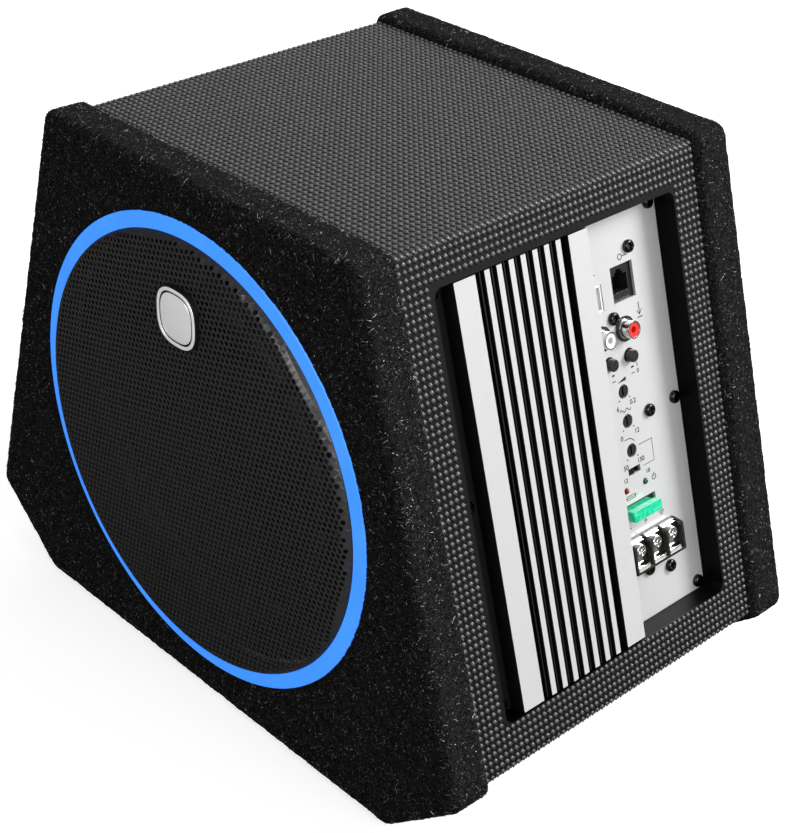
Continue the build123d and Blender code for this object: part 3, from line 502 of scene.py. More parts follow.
def cloth_finish(name, colour):
    """Resin-dipped cloth with an over-and-under weave."""
    f = Finish(name, colour, 0.75)
    lighter = tuple(min(1.0, c * 1.5) for c in colour)
    weave = f.maths("MULTIPLY",
                    f.node("ShaderNodeTexWave", {"Vector": f.coord, "Scale": 500.0}).outputs[1],
                    f.node("ShaderNodeTexWave", {"Vector": f.coord, "Scale": 500.0},
                           bands_direction="Z").outputs[1])
    f.set("Base Color", f.mix(weave, colour, lighter))
    f.bump(weave, 0.6, 0.0002)
    return f.material


def winding_finish(name, colour):
    """Wound enamelled copper wire."""
    f = Finish(name, colour, 0.3, 0.9)
    turns = f.node("ShaderNodeTexWave", {"Vector": f.coord, "Scale": 900.0, "Distortion": 1.5},
                   bands_direction="DIAGONAL").outputs[1]
    f.set("Base Color", f.mix(turns, tuple(c * 0.5 for c in colour), colour))
    f.bump(turns, 0.7, 0.0002)
    return f.material


def lens_finish(name, colour):
    """Small tinted lamp lens, unlit."""
    f = Finish(name, colour, 0.15)
    f.set("Base Color", f.mix(f.noise(900.0), tuple(c * 0.6 for c in colour), colour))
    f.set("Transmission Weight", 0.35)
    f.bump(f.noise(2500.0), 0.1, 0.00003)
    return f.material


def fuse_finish():
    """Translucent green fuse moulding, cloudy inside, with a faint painted glow."""
    f = Finish("fuse_green", (0.05, 0.72, 0.42), 0.25)
    cloud = f.noise(420.0, 4.0)
    f.set("Base Color", f.mix(f.remap(cloud, 0.4, 0.65, 0.0, 1.0), (0.0, 0.55, 0.29), (0.06, 0.85, 0.55)))
    f.set("Transmission Weight", 0.3)
    # painted glow: the fuse gives off a faint green light of its own
    f.set("Emission Color", (0.0, 0.7, 0.36, 1))
    f.set("Emission Strength", 0.12)
    f.soften(0.0003)
    f.bump(cloud, 0.4, 0.0002)
    return f.material


def ink_finish():
    """Screen-printed black ink, slightly uneven."""
    f = Finish("panel_ink", (0.02, 0.02, 0.02), 0.55)
    f.set("Base Color", f.mix(f.noise(3000.0), (0.004, 0.004, 0.004), (0.02, 0.02, 0.02)))
    f.bump(f.noise(3000.0), 0.2, 0.00002)
    return f.material


def circuit_finish():
    """Green solder mask with paler tracks."""
    f = Finish("board_green", (0.01, 0.12, 0.04), 0.35)
    tracks = f.node("ShaderNodeTexBrick", {"Vector": f.coord, "Scale": 120.0}).outputs[1]
    f.set("Base Color", f.mix(tracks, (0.008, 0.10, 0.035), (0.03, 0.2, 0.08)))
    f.bump(tracks, 0.3, 0.00005)
    return f.material


FINISHES = {
    "carpet": carpet_finish(),
    "fibreboard": board_finish(),
    "vinyl": vinyl_finish("vinyl", (0.003, 0.003, 0.003), (0.008, 0.008, 0.009), 0.22),
    "black_steel": black_steel_finish("black_steel", (0.007, 0.007, 0.007), (0.014, 0.014, 0.015), 0.4),
    "surround_rubber": moulded("surround_rubber", (0.012, 0.012, 0.012), 0.55).material,
    "spider_cloth": cloth_finish("spider_cloth", (0.35, 0.22, 0.08)),
    "cone_pulp": paper_finish(),
    "coil_copper": winding_finish("coil_copper", (0.72, 0.34, 0.16)),
    "zinc_steel": plated("zinc_steel", (0.62, 0.63, 0.64), 0.35).material,
    "ferrite": moulded("ferrite", (0.03, 0.03, 0.032), 0.6, 1500.0).material,
    "black_screw": plated("black_screw", (0.05, 0.05, 0.052), 0.16, 0.0003).material,
    "wire_pvc": moulded("wire_pvc", (0.10, 0.01, 0.01), 0.4).material,
    "ring_blue": ring_finish(),
    "badge_metal": badge_finish(),
    "black_anodised": heatsink_finish(),
    "satin_silver": plate_finish(),
    "board_green": circuit_finish(),
    "transformer_winding": winding_finish("transformer_winding", (0.6, 0.28, 0.12)),
    "capacitor_sleeve": moulded("capacitor_sleeve", (0.012, 0.014, 0.03), 0.3).material,
    "black_moulding": moulded("black_moulding", (0.012, 0.012, 0.012), 0.3, 2500.0, 0.0003).material,
    "nickel": plated("nickel", (0.86, 0.85, 0.82), 0.14).material,
    "red_insulator": moulded("red_insulator", (0.75, 0.03, 0.02), 0.35).material,
    "white_insulator": moulded("white_insulator", (0.8, 0.8, 0.78), 0.35).material,
    "green_lens": lens_finish("green_lens", (0.0, 0.16, 0.06)),
    "red_lens": lens_finish("red_lens", (0.5, 0.005, 0.01)),
    "fuse_green": fuse_finish(),
}


# ---------------------------------------------------------------- carpet slabs


def rim_profile(depth):
    """(inset, depth) points from the front face's edge round to the rear face's edge."""
    points = []
    turns = 6
    for k in range(turns + 1):
        a = math.pi / 2 * k / turns
        points.append((SLAB_EDGE_R * (1 - math.sin(a)), SLAB_EDGE_R * (1 - math.cos(a))))
    band = depth - 2 * SLAB_EDGE_R
    runs = round(band / PILE_STEP)
    for k in range(1, runs):
        points.append((0.0, SLAB_EDGE_R + band * k / runs))
    for k in range(turns + 1):
        a = math.pi / 2 * k / turns
        points.append((SLAB_EDGE_R * (1 - math.cos(a)), depth - SLAB_EDGE_R * (1 - math.sin(a))))
    return points


def slab_rings(depth, bore_r, bore_depth, open_front):
    """Rings of points over a carpeted slab, from the middle of its bored or plain face to the other face."""
    path, normals = rounded_outline(OUTLINE, SLAB_CORNER_R, PILE_STEP)
    edge = path - normals * SLAB_EDGE_R
    middle = np.array((0.0, RING_HEIGHT))
    outward = edge - middle
    angles = np.unwrap(np.arctan2(outward[:, 1], outward[:, 0]))
    even = angles[0] + (angles[-1] - angles[0]) * np.arange(len(angles)) / (len(angles) - 1)
    spread = 0.3 * angles + 0.7 * even
    hub = middle + np.column_stack((np.cos(spread), np.sin(spread))) * bore_r
    rings = []
    if open_front:
        rings.append((hub, bore_depth))
        rings.append((hub, 0.5))
    steps = 44 if open_front else 96
    for k in range(steps):
        t = k / steps
        rings.append((hub * (1 - t) + edge * t, 0.0))
    for inset, deep in rim_profile(depth):
        rings.append((path - normals * inset, deep))
    last = path - normals * (SLAB_CORNER_R - 0.8)
    rings.append((path - normals * (SLAB_EDGE_R + 1.2), depth))
    for shrink in (0.0, 0.015, 0.035):
        rings.append((last + (middle - last) * shrink, depth))
    return [np.column_stack((xz[:, 0], np.full(len(xz), y), xz[:, 1])) for xz, y in rings]


def pile_relief(points, normals, rng):
    """Points pushed along their normals by soft waves and a fine matted roughness, in mm."""
    x, y, z = points.T
    waves = np.sin(x * 0.31 + 1.7 * np.sin(z * 0.13)) * np.sin(z * 0.27 + y * 0.2 + 1.3 * np.sin(x * 0.11))
    matted = np.sin(x * 2.1 + 3.0 * np.sin(z * 0.9)) * np.sin(z * 2.3 + y * 2.0 + 2.0 * np.sin(x * 1.1))
    lift = 0.12 * waves + 0.14 * matted + rng.uniform(-0.22, 0.1, len(points))
    return points + normals * lift[:, None]


def slab_carpet(name, node, y_face, inward, bore_r, bore_depth, open_front):
    """Closed carpet skin of one slab. y_face is its outer face and inward the way into the box."""
    low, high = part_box(node)
    depth = (high.y - low.y) / MM
    rings = slab_rings(depth, bore_r, bore_depth, open_front)
    count = len(rings[0])
    points = np.concatenate(rings)
    points[:, 1] = y_face + inward * points[:, 1]
    faces = []
    for r in range(len(rings) - 1):
        a = np.arange(count) + r * count
        b = np.roll(np.arange(count), -1) + r * count
        faces.append(np.column_stack((a, b, b + count, a + count)))
    if open_front:
        last = (len(rings) - 1) * count
        a, b = np.arange(count), np.roll(np.arange(count), -1)
        faces.append(np.column_stack((a + last, b + last, b, a)))
    faces = np.concatenate(faces)
    if inward > 0:
        faces = faces[:, ::-1]
    obj = numpy_mesh(name, points * MM, faces)
    normals = np.zeros(len(points) * 3, np.float32)
    obj.data.vertices.foreach_get("normal", normals)
    normals = normals.reshape(-1, 3).astype(float)
    rng = np.random.default_rng(SEED)
    moved = pile_relief(points, normals, rng)
    held = range(2 * count) if open_front else range(0)
    moved[list(held)] = points[list(held)]
    obj.data.vertices.foreach_set("co", (moved * MM).astype(np.float32).ravel())
    if not open_front:
        cap_slab(obj, count, len(rings))
    obj.data.update()
    paint(obj, FINISHES["carpet"])
    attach(obj, "enclosure")
    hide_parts(node)
    return obj, moved, normals, faces


def cap_slab(obj, count, ring_count):
    """Close a plain slab's skin in the middle of its outer face and behind."""
    bm = bmesh.new()
    bm.from_mesh(obj.data)
    bm.verts.ensure_lookup_table()
    for start in (0, (ring_count - 1) * count):
        loop = [bm.verts[start + k] for k in range(count)]
        bm.faces.new(loop)
    bmesh.ops.recalc_face_normals(bm, faces=bm.faces)
    for face in bm.faces:
        face.smooth = True
    bm.to_mesh(obj.data)
    bm.free()


def carpet_fibres(name, points, normals, faces, count, seed, visible):
    """Loose fibres lying over a carpet skin, each a bent three-sided strand."""
    rng = np.random.default_rng(seed)
    corners = points[faces]
    area = np.linalg.norm(np.cross(corners[:, 2] - corners[:, 0], corners[:, 3] - corners[:, 1]), axis=1)
    weight = area * visible(corners.mean(axis=1))
    chosen = rng.choice(len(faces), count, p=weight / weight.sum())
    s, t = rng.random((2, count, 1))
    c = corners[chosen]
    root = (c[:, 0] * (1 - s) + c[:, 1] * s) * (1 - t) + (c[:, 3] * (1 - s) + c[:, 2] * s) * t
    n = normals[faces[chosen]].mean(axis=1)
    n /= np.linalg.norm(n, axis=1)[:, None] + 1e-9
    drift = rng.normal(size=(count, 3))
    along = np.cross(n, drift)
    along /= np.linalg.norm(along, axis=1)[:, None] + 1e-9
    side = np.cross(n, along)
    length = rng.uniform(0.9, 3.0, (count, 1))
    rise = rng.uniform(0.15, 0.55, (count, 1))
    bow = rng.uniform(-0.5, 0.5, (count, 1)) * length
    tip = rng.uniform(-0.1, 0.7, (count, 1))
    line = [
        root - n * 0.15,
        root + along * length * 0.5 + side * bow * 0.5 + n * rise,
        root + along * length + side * bow * 0.2 + n * tip,
    ]
    thick = rng.uniform(0.09, 0.2, (count, 1))
    verts = np.empty((count, 9, 3))
    for i, centre in enumerate(line):
        for k in range(3):
            a = 2 * math.pi * k / 3
            verts[:, i * 3 + k] = centre + (side * math.cos(a) + n * math.sin(a)) * thick
    tris = [(0, 2, 1), (6, 7, 8)]
    for i in (0, 3):
        for k in range(3):
            a, b = i + k, i + (k + 1) % 3
            tris += [(a, b, b + 3), (a, b + 3, a + 3)]
    base = np.array(tris)
    index = base[None, :, :] + (np.arange(count) * 9)[:, None, None]
    obj = numpy_mesh(name, verts.reshape(-1, 3) * MM, index.reshape(-1, 3))
    paint(obj, FIBRE)
    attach(obj, "enclosure")
    return obj


def slabs():
    """Both carpeted slabs with their loose fibres."""
    y_front = front_low.y / MM
    y_rear = rear_high.y / MM
    parts = slab_carpet("front_carpet_pile", "front_carpet", y_front, 1, RING_OUTER_R + 0.15, 9.0, True)
    carpet_fibres("front_carpet_fibres", *parts[1:], FIBRES["front"], SEED + 1, outside_ring)
    parts = slab_carpet("rear_carpet_pile", "rear_carpet", y_rear, -1, 4.0, 0.0, False)
    carpet_fibres("rear_carpet_fibres", *parts[1:], FIBRES["rear"], SEED + 2, lambda p: np.ones(len(p)))


def outside_ring(p):
    """1 outside the trim ring, 0 inside it."""
    r = np.hypot(p[:, 0], p[:, 2] - RING_HEIGHT)
    return (r > RING_OUTER_R + 1.0) * 1.0


# ---------------------------------------------------------------- vinyl nubs

NUB_PITCH_U = 3.2
NUB_PITCH_V = 3.45
NUB_HEIGHT = 0.7


def in_bay(u, v, margin):
    """Whether a point of the amplifier wall lies in the bay, grown by margin."""
    return (BAY_U[0] - margin < u < BAY_U[1] + margin) and (BAY_V[0] - margin < v < BAY_V[1] + margin)


def nub_shape():
    """Vertices (across, along, up) and faces of one four-pointed nub."""
    verts, faces = [], []
    for reach, waist, up in ((1.52, 0.95, -0.12), (1.26, 0.66, 0.82 * NUB_HEIGHT)):
        for k in range(8):
            a = math.pi / 4 * k
            r = reach if k % 2 == 0 else waist
            verts.append((r * math.cos(a), r * math.sin(a), up))
    verts.append((0, 0, NUB_HEIGHT))
    for k in range(8):
        j = (k + 1) % 8
        faces += [(k, j, 8 + j), (k, 8 + j, 8 + k), (8 + k, 8 + j, 16)]
    for k in range(1, 7):
        faces.append((0, k + 1, k))
    return np.array(verts), np.array(faces)


def vinyl_nubs():
    """The raised lattice of the vinyl, one small pyramid at each point round the body."""
    fine = 0.25
    corners = [tuple(p) for p in inset_outline(OUTLINE, BODY_INSET)]
    path, normals = rounded_outline(corners, BODY_EDGE_ROUNDING, fine)
    steps = np.linalg.norm(np.roll(path, -1, axis=0) - path, axis=1)
    reached = np.concatenate(([0], np.cumsum(steps)[:-1]))
    total = reached[-1] + steps[-1]
    across = round(total / NUB_PITCH_V)
    picks = np.searchsorted(reached, np.arange(across) * total / across).clip(0, len(path) - 1)
    y0, y1 = vinyl_low.y / MM, vinyl_high.y / MM
    rows = round((y1 - y0) / NUB_PITCH_U)
    shape, faces = nub_shape()
    rng = np.random.default_rng(SEED + 3)
    verts, index, made = [], [], 0
    slope = Vector((DOWN_SLOPE.x, DOWN_SLOPE.z))
    for i in picks:
        p, n = path[i], normals[i]
        on_wall = n[0] * WALL_NORMAL.x + n[1] * WALL_NORMAL.z > 0.99
        v = (Vector(p) - WALL_TOP).dot(slope)
        outward = np.array((n[0], 0, n[1]))
        along = np.array((-n[1], 0, n[0]))
        for k in range(rows):
            y = y0 + (k + 0.5) * (y1 - y0) / rows
            if on_wall and in_bay(y - FRONT_Y, v, 1.25):
                continue
            size = rng.uniform(0.93, 1.07, 3)
            centre = np.array((p[0], y, p[1]))
            local = shape * size
            verts.append(centre + local[:, :1] * along * 1.04 + local[:, 1:2] * np.array((0, 1, 0))
                         + local[:, 2:] * outward)
            index.append(faces + made * len(shape))
            made += 1
    obj = numpy_mesh("vinyl_nubs", np.concatenate(verts) * MM, np.concatenate(index), smooth=False)
    paint(obj, NUB)
    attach(obj, "enclosure")


# ---------------------------------------------------------------- grille

HOLE_PITCH = 3.15
HOLE_R = 1.2
LATTICE_TURN = math.radians(14.5)
BADGE_SQUARENESS = 0.72
SHEET_REACH = RING_INNER_R - GRILLE_RIM_R + GRILLE_RIM_R * math.radians(80)
PERFORATED_R = 108.0
CELL_WELD = 0.00002


def on_grille(across, below):
    """(radius, depth) on the grille's sheet, across being the distance from its centre along the sheet."""
    dome_r = RING_INNER_R - GRILLE_RIM_R
    rise = GRILLE_CENTRE_PROUD - GRILLE_EDGE_PROUD
    sphere_r = (dome_r**2 + rise**2) / (2 * rise)
    flat = np.minimum(across, dome_r)
    depth = sphere_r - GRILLE_CENTRE_PROUD - np.sqrt(sphere_r**2 - flat**2)
    bend = np.maximum(across - dome_r, 0) / GRILLE_RIM_R
    roll = GRILLE_RIM_R - below
    radius = flat + roll * np.sin(bend)
    return radius, depth + GRILLE_RIM_R - roll * np.cos(bend)


def grille_cells():
    """Centres of every lattice cell that reaches inside the dome."""
    limit = SHEET_REACH
    reach = int(limit / HOLE_PITCH * 1.3) + 2
    a = Vector((math.cos(LATTICE_TURN), math.sin(LATTICE_TURN))) * HOLE_PITCH
    b = Vector((math.cos(LATTICE_TURN + math.pi / 3), math.sin(LATTICE_TURN + math.pi / 3))) * HOLE_PITCH
    for i in range(-reach, reach + 1):
        for j in range(-reach, reach + 1):
            c = a * i + b * j
            if c.length < limit + 1.0:
                yield c


def grille_sheet():
    """Domed sheet with a real hole in each lattice cell but those at its rim."""
    limit = SHEET_REACH
    hexagon = HOLE_PITCH / math.sqrt(3)
    rim, hole = [], []
    for k in range(12):
        angle = LATTICE_TURN + math.pi / 6 * k
        r = hexagon if k % 2 == 1 else HOLE_PITCH / 2
        rim.append((r * math.cos(angle), r * math.sin(angle)))
        hole.append((HOLE_R * math.cos(angle), HOLE_R * math.sin(angle)))
    rim, hole = np.array(rim), np.array(hole)
    sheets, faces = [], []
    size = 0
    for centre in grille_cells():
        outer = rim + np.array(tuple(centre))
        far = np.linalg.norm(outer, axis=1)
        if far.min() > limit:
            continue
        if far.max() > PERFORATED_R:
            outer = outer * np.minimum(1, limit / far)[:, None]
            sheets += [(outer, 0.0), (outer, GRILLE_SHEET)]
            faces.append(tuple(range(size, size + 12)))
            faces.append(tuple(range(size + 23, size + 11, -1)))
            size += 24
            continue
        inner = hole + np.array(tuple(centre))
        sheets += [(outer, 0.0), (inner, 0.0), (inner, GRILLE_SHEET), (outer, GRILLE_SHEET)]
        for k in range(12):
            j = (k + 1) % 12
            for row in (0, 12, 24):
                faces.append((size + row + k, size + row + j, size + row + 12 + j, size + row + 12 + k))
        size += 48
    verts = []
    for points, below in sheets:
        across = np.linalg.norm(points, axis=1)
        radius, depth = on_grille(across, below)
        flat = points * (radius / np.maximum(across, 1e-6))[:, None]
        verts.append(np.column_stack((flat[:, 0], FRONT_Y + depth, flat[:, 1] + RING_HEIGHT)))
    obj = new_mesh("grille_sheet", np.concatenate(verts) * MM, faces, smooth=False)
    return face_outwards(obj, CELL_WELD)


def revolved(name, profile, segments, start=0.0, end=2 * math.pi):
    """A closed (radius, depth) profile in mm swept round the driver's axis, capped if not a full turn."""
    whole = abs(end - start - 2 * math.pi) < 1e-6
    count = len(profile)
    verts, faces = [], []
    stations = segments if whole else segments + 1
    for s in range(stations):
        a = start + (end - start) * s / segments
        for r, d in profile:
            x, z = r * math.cos(a), r * math.sin(a) + RING_HEIGHT
            verts.append((x * MM, (FRONT_Y + d) * MM, z * MM))
    for s in range(segments):
        t = (s + 1) % stations
        for k in range(count):
            j = (k + 1) % count
            faces.append((s * count + k, s * count + j, t * count + j, t * count + k))
    if not whole:
        faces.append(tuple(range(count - 1, -1, -1)))
        faces.append(tuple(range(segments * count, segments * count + count)))
    return face_outwards(new_mesh(name, verts, faces))


def grille_rim():
    """Plain skirt that runs down from the rolled edge behind the ring."""
    seat = GRILLE_RIM_R - GRILLE_EDGE_PROUD
    outer, inner = RING_INNER_R - 0.05, RING_INNER_R - GRILLE_SHEET
    profile = [(outer - 0.12, seat - 1.1), (outer, seat), (outer, GRILLE_SKIRT_DEPTH)]
    profile += [(inner, GRILLE_SKIRT_DEPTH), (inner, seat), (inner - 0.1, seat - 1.0)]
    return revolved("grille_rim", profile, 240)


def grille():
    """Perforated sheet and rolled rim in place of the plain CAD dome."""
    for obj in (grille_sheet(), grille_rim()):
        paint(obj, GRILLE_STEEL)
        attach(obj, "enclosure")
        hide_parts("grille_mesh")


def crowned_ring(middle, width, height, bands):
    """Vertices and faces of rounded-square bands, each a (scale, rise) pair from the middle outwards."""
    sides = 72
    verts, faces = [], []
    for scale, rise in bands:
        for k in range(sides):
            a = 2 * math.pi * k / sides
            c, s = math.cos(a), math.sin(a)
            x = math.copysign(abs(c) ** BADGE_SQUARENESS, c) * width * scale
            z = math.copysign(abs(s) ** BADGE_SQUARENESS, s) * height * scale
            verts.append(middle + Vector((x, -rise, z)))
    for r in range(len(bands) - 1):
        for k in range(sides):
            j = (k + 1) % sides
            faces.append((r * sides + k, r * sides + j, (r + 1) * sides + j, (r + 1) * sides + k))
    return verts, faces, sides


def badge_face():
    """Bright crowned face and polished border on the black badge, with a dark groove between them."""
    low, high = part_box("badge")
    width, height = (high.x - low.x) / 2, (high.z - low.z) / 2
    middle = Vector(((low.x + high.x) / 2, low.y, (low.z + high.z) / 2))
    crown = [(0.02 + 0.76 * k / 10, 0.001 * (1 - (k / 10) ** 3)) for k in range(10)]
    crown += [(0.80, 0.0002), (0.80, -0.0006)]
    border = [(0.87, -0.0006), (0.87, 0.0003), (0.90, 0.0006)]
    border += [(0.95, 0.0006), (0.98, 0.0003), (0.98, -0.0006)]
    for name, bands, hollow in (("badge_face", crown, False), ("badge_border", border, True)):
        verts, faces, sides = crowned_ring(middle, width, height, bands)
        last = (len(bands) - 1) * sides
        if hollow:
            for k in range(sides):
                j = (k + 1) % sides
                faces.append((last + k, last + j, j, k))
        else:
            faces.append(tuple(range(sides)))
            faces.append(tuple(range(last + sides - 1, last - 1, -1)))
        obj = face_outwards(new_mesh(name, verts, faces))
        paint(obj, FINISHES["badge_metal"])
        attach(obj, "enclosure")


# ---------------------------------------------------------------- flexing parts of the driver

SECTORS = 16


def flexing_ring(name, node, profile, finish):
    """A flexible ring cut into sectors, each spanning between the basket and the cone."""
    for i in range(SECTORS):
        start = 2 * math.pi * i / SECTORS
        end = 2 * math.pi * (i + 1) / SECTORS
        obj = revolved(f"{name}_{i + 1:02d}", profile, 6, start, end)
        paint(obj, FINISHES[finish])
        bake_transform(obj)
        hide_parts(node)


def surround():
    """Rubber half-roll between the basket's flange and the cone's lip."""
    middle, roll, sheet, seat = 79.5, 6.5, 1.2, 9.45
    outer = [(91.0, seat), (91.0, seat - sheet)]
    for k in range(15):
        a = math.pi * k / 14
        r = roll + sheet / 2
        outer.append((middle + r * math.cos(a), min(seat - sheet, seat - r * math.sin(a))))
    outer += [(68.2, seat - sheet), (68.2, seat)]
    for k in range(15):
        a = math.pi * (1 - k / 14)
        r = roll - sheet / 2
        outer.append((middle + r * math.cos(a), seat - r * math.sin(a)))
    flexing_ring("surround", "woofer_surround", outer, "surround_rubber")


def spider():
    """Corrugated cloth that centres the voice coil."""
    depth, sheet, crests = 45.5, 0.5, 10
    inner_r, first, last, seat = 19.5, 21.3, 51.0, 60.0
    front, back = [(inner_r, depth)], [(inner_r, depth + sheet)]
    steps = crests * 6
    for i in range(steps + 1):
        t = i / steps
        r = first + (last - first) * t
        fade = min(1.0, 6 * t, 6 * (1 - t))
        lift = 1.5 * math.sin(math.pi * crests * t) * fade
        front.append((r, depth + lift))
        back.append((r, depth + lift + sheet))
    front.append((seat, depth))
    back.append((seat, depth + sheet))
    flexing_ring("spider", "woofer_spider", front + back[::-1], "spider_cloth")


# ---------------------------------------------------------------- markings on the plate


class Legend:
    """Collects flat printed marks on the plate, drawn in (u, v) millimetres."""

    height = 0.03

    def __init__(self):
        self.verts, self.faces = [], []

    def prism(self, points):
        """Thin closed prism over a convex outline."""
        start, count = len(self.verts), len(points)
        for d in (PLATE_D + 0.05, PLATE_D - self.height):
            for u, v in points:
                self.verts.append(wall_point(u, v, d))
        self.faces.append(tuple(range(start, start + count)))
        self.faces.append(tuple(range(start + 2 * count - 1, start + count - 1, -1)))
        for k in range(count):
            j = (k + 1) % count
            self.faces.append((start + k, start + count + k, start + count + j, start + j))

    def line(self, first, last, width=0.5):
        """Straight stroke."""
        a, b = Vector(first), Vector(last)
        along = (b - a).normalized() * width / 2
        side = Vector((-along.y, along.x))
        corners = (a - along - side, b + along - side, b + along + side, a - along + side)
        self.prism([tuple(corner) for corner in corners])

    def path(self, points, width=0.5):
        """Joined strokes."""
        for a, b in zip(points, points[1:]):
            self.line(a, b, width)

    def dot(self, centre, radius=0.42):
        """Round dot."""
        u, v = centre
        turns = [k * math.pi / 6 for k in range(12)]
        self.prism([(u + radius * math.cos(a), v + radius * math.sin(a)) for a in turns])

    def arc(self, centre, radius, start, end, width=0.5, steps=14):
        """Part of a circle; angles in degrees clockwise from straight up."""
        points = []
        for k in range(steps + 1):
            a = math.radians(start + (end - start) * k / steps)
            points.append((centre[0] + radius * math.sin(a), centre[1] - radius * math.cos(a)))
        self.path(points, width)

    def number(self, text, centre, size=3.3):
        """Figures centred on a point."""
        curve = bpy.data.curves.new("figures", "FONT")
        curve.body = text
        curve.size = size * MM
        curve.offset = 0.00006
        curve.align_x = "CENTER"
        curve.align_y = "CENTER"
        curve.extrude = 0.00004
        temporary = bpy.data.objects.new("figures", curve)
        bpy.context.scene.collection.objects.link(temporary)
        bpy.context.view_layer.update()
        mesh = bpy.data.meshes.new_from_object(temporary)
        start = len(self.verts)
        for vert in mesh.vertices:
            u, v = centre[0] + vert.co.x / MM, centre[1] - vert.co.y / MM
            self.verts.append(wall_point(u, v, PLATE_D + 0.01 - vert.co.z / MM))
        for face in mesh.polygons:
            self.faces.append(tuple(start + i for i in face.vertices))
        bpy.data.objects.remove(temporary)
        bpy.data.curves.remove(curve)
        bpy.data.meshes.remove(mesh)

    def build(self, name):
        """Turn the marks into one piece."""
        obj = face_outwards(new_mesh(name, self.verts, self.faces, smooth=False))
        paint(obj, ink_finish())
        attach(obj, "enclosure")


KNOB_U = 152.0

# Strokes of the pictograms by width: the remote socket's stem, arrows to the phono sockets and the
# speaker-level input, the power lamp's stroke, the fuse's box, and the terminals' cross, bolt and bars
PICTOGRAMS = {
    0.5: [
        [(169.4, 66.0), (169.4, 71.4)],
        [(167.9, 72.9), (170.9, 72.9)],
        [(140.6, 45.4), (143.8, 45.4)],
    ],
    0.4: [
        [(162.7, 42.2), (165.6, 42.2)],
        [(167.9, 69.6), (169.4, 71.6), (170.9, 69.6)],
        [(142.6, 44.4), (143.9, 45.4), (142.6, 46.4)],
        [(164.2, 147.6), (164.2, 149.6)],
        [(141.8, 168.0), (144.6, 168.0)],
        [(143.2, 166.6), (143.2, 169.4)],
        [(155.3, 166.5), (153.9, 168.0), (155.6, 168.0), (154.2, 169.5)],
        [(166.0, 166.2), (166.0, 167.6)],
        [(164.2, 167.7), (167.8, 167.7)],
        [(164.8, 168.6), (167.2, 168.6)],
        [(165.4, 169.5), (166.6, 169.5)],
    ],
    0.35: [
        [(144.6, 152.6), (150.4, 152.6), (150.4, 154.4), (144.6, 154.4), (144.6, 152.6)],
        [(143.2, 153.5), (151.8, 153.5)],
    ],
}


def knob_scale(legend, centre, low, high):
    """End dots and end figures round one knob."""
    for angle in (-135, 135):
        a = math.radians(angle)
        legend.dot((centre[0] + 5.0 * math.sin(a), centre[1] - 5.0 * math.cos(a)))
    legend.number(low, (centre[0] - 5.2, centre[1] + 7.0))
    legend.number(high, (centre[0] + 5.2, centre[1] + 6.4))


def markings():
    """Scales, pictograms and figures, with no words."""
    legend = Legend()
    for v, low, high in ((103.2, "6", "0.2"), (117.6, "0", "12"), (132.0, "50", "150")):
        knob_scale(legend, (KNOB_U, v), low, high)
    # wedge over the level knob, wave over the bass knob, falling curve over the crossover knob
    legend.prism([(148.6, 98.4), (154.6, 98.4), (154.6, 96.6)])
    legend.path([(148.0 + k * 0.6, 112.1 - 0.8 * math.sin(k * math.pi / 3)) for k in range(13)], 0.4)
    legend.path([(148.4, 125.9), (151.6, 125.9), (152.8, 126.4), (154.6, 128.0)], 0.4)
    # bracket joining the crossover knob and its slope switch
    legend.path([(157.0, 131.0), (166.0, 131.0), (166.0, 141.8), (158.6, 141.8)], 0.3)
    legend.number("12", (145.4, 144.9), 2.9)
    legend.number("18", (160.8, 145.4), 2.9)
    # button positions: out and in
    for u, v, low, high in ((159.0, 93.4, "1", "0"), (146.0, 93.4, "0", "180")):
        legend.prism([(u, v), (u + 1.8, v), (u + 1.8, v + 0.9), (u, v + 0.9)])
        legend.line((u, v + 3.4), (u + 1.8, v + 3.4), 0.45)
        if u > 150:
            legend.number(low, (u + 4.2, v + 0.4), 2.8)
            legend.number(high, (u + 4.2, v + 3.4), 2.8)
    # remote socket: a ring with a stem; power lamp: a broken circle with a stroke
    legend.arc((161.4, 42.2), 1.3, 0, 360, 0.4)
    legend.arc((164.2, 149.6), 1.3, 35, 325, 0.4)
    for width, strokes in PICTOGRAMS.items():
        for points in strokes:
            legend.path(points, width)
    legend.build("panel_markings")


# ---------------------------------------------------------------- carried-over CAD pieces


def dress_nodes():
    """Give every CAD node the finish of its slot."""
    for part in frame["record"]["subparts"]:
        node = NODES[part["node"]]
        paint(node, FINISHES[part["material_slot"]])
    paint(NODES["badge"], FINISHES["black_steel"])


# ---------------------------------------------------------------- stage, light and camera


def floor():
    """Pale floor that looks white to the camera and throws only a little light back up."""
    mesh = bpy.data.meshes.new("floor")
    r = 6.0
    mesh.from_pydata([(-r, -r, -0.001), (r, -r, -0.001), (r, r, -0.001), (-r, r, -0.001)], [], [(0, 1, 2, 3)])
    obj = bpy.data.objects.new("floor", mesh)
    bpy.context.scene.collection.objects.link(obj)
    material = bpy.data.materials.new("floor")
    material.use_nodes = True
    nodes, links = material.node_tree.nodes, material.node_tree.links
    bsdf = nodes["Principled BSDF"]
    bsdf.inputs["Roughness"].default_value = 0.9
    bsdf.inputs["Specular IOR Level"].default_value = 0.0
    bsdf.inputs["Emission Color"].default_value = (1, 1, 1, 1)
    seen = nodes.new("ShaderNodeLightPath").outputs["Is Camera Ray"]
    for socket, hidden, shown in (("Base Color", 0.12, 0.6), ("Emission Strength", 0.0, 0.72)):
        remap = nodes.new("ShaderNodeMapRange")
        remap.inputs[3].default_value = hidden
        remap.inputs[4].default_value = shown
        links.new(seen, remap.inputs[0])
        links.new(remap.outputs[0], bsdf.inputs[socket])
    mesh.materials.append(material)


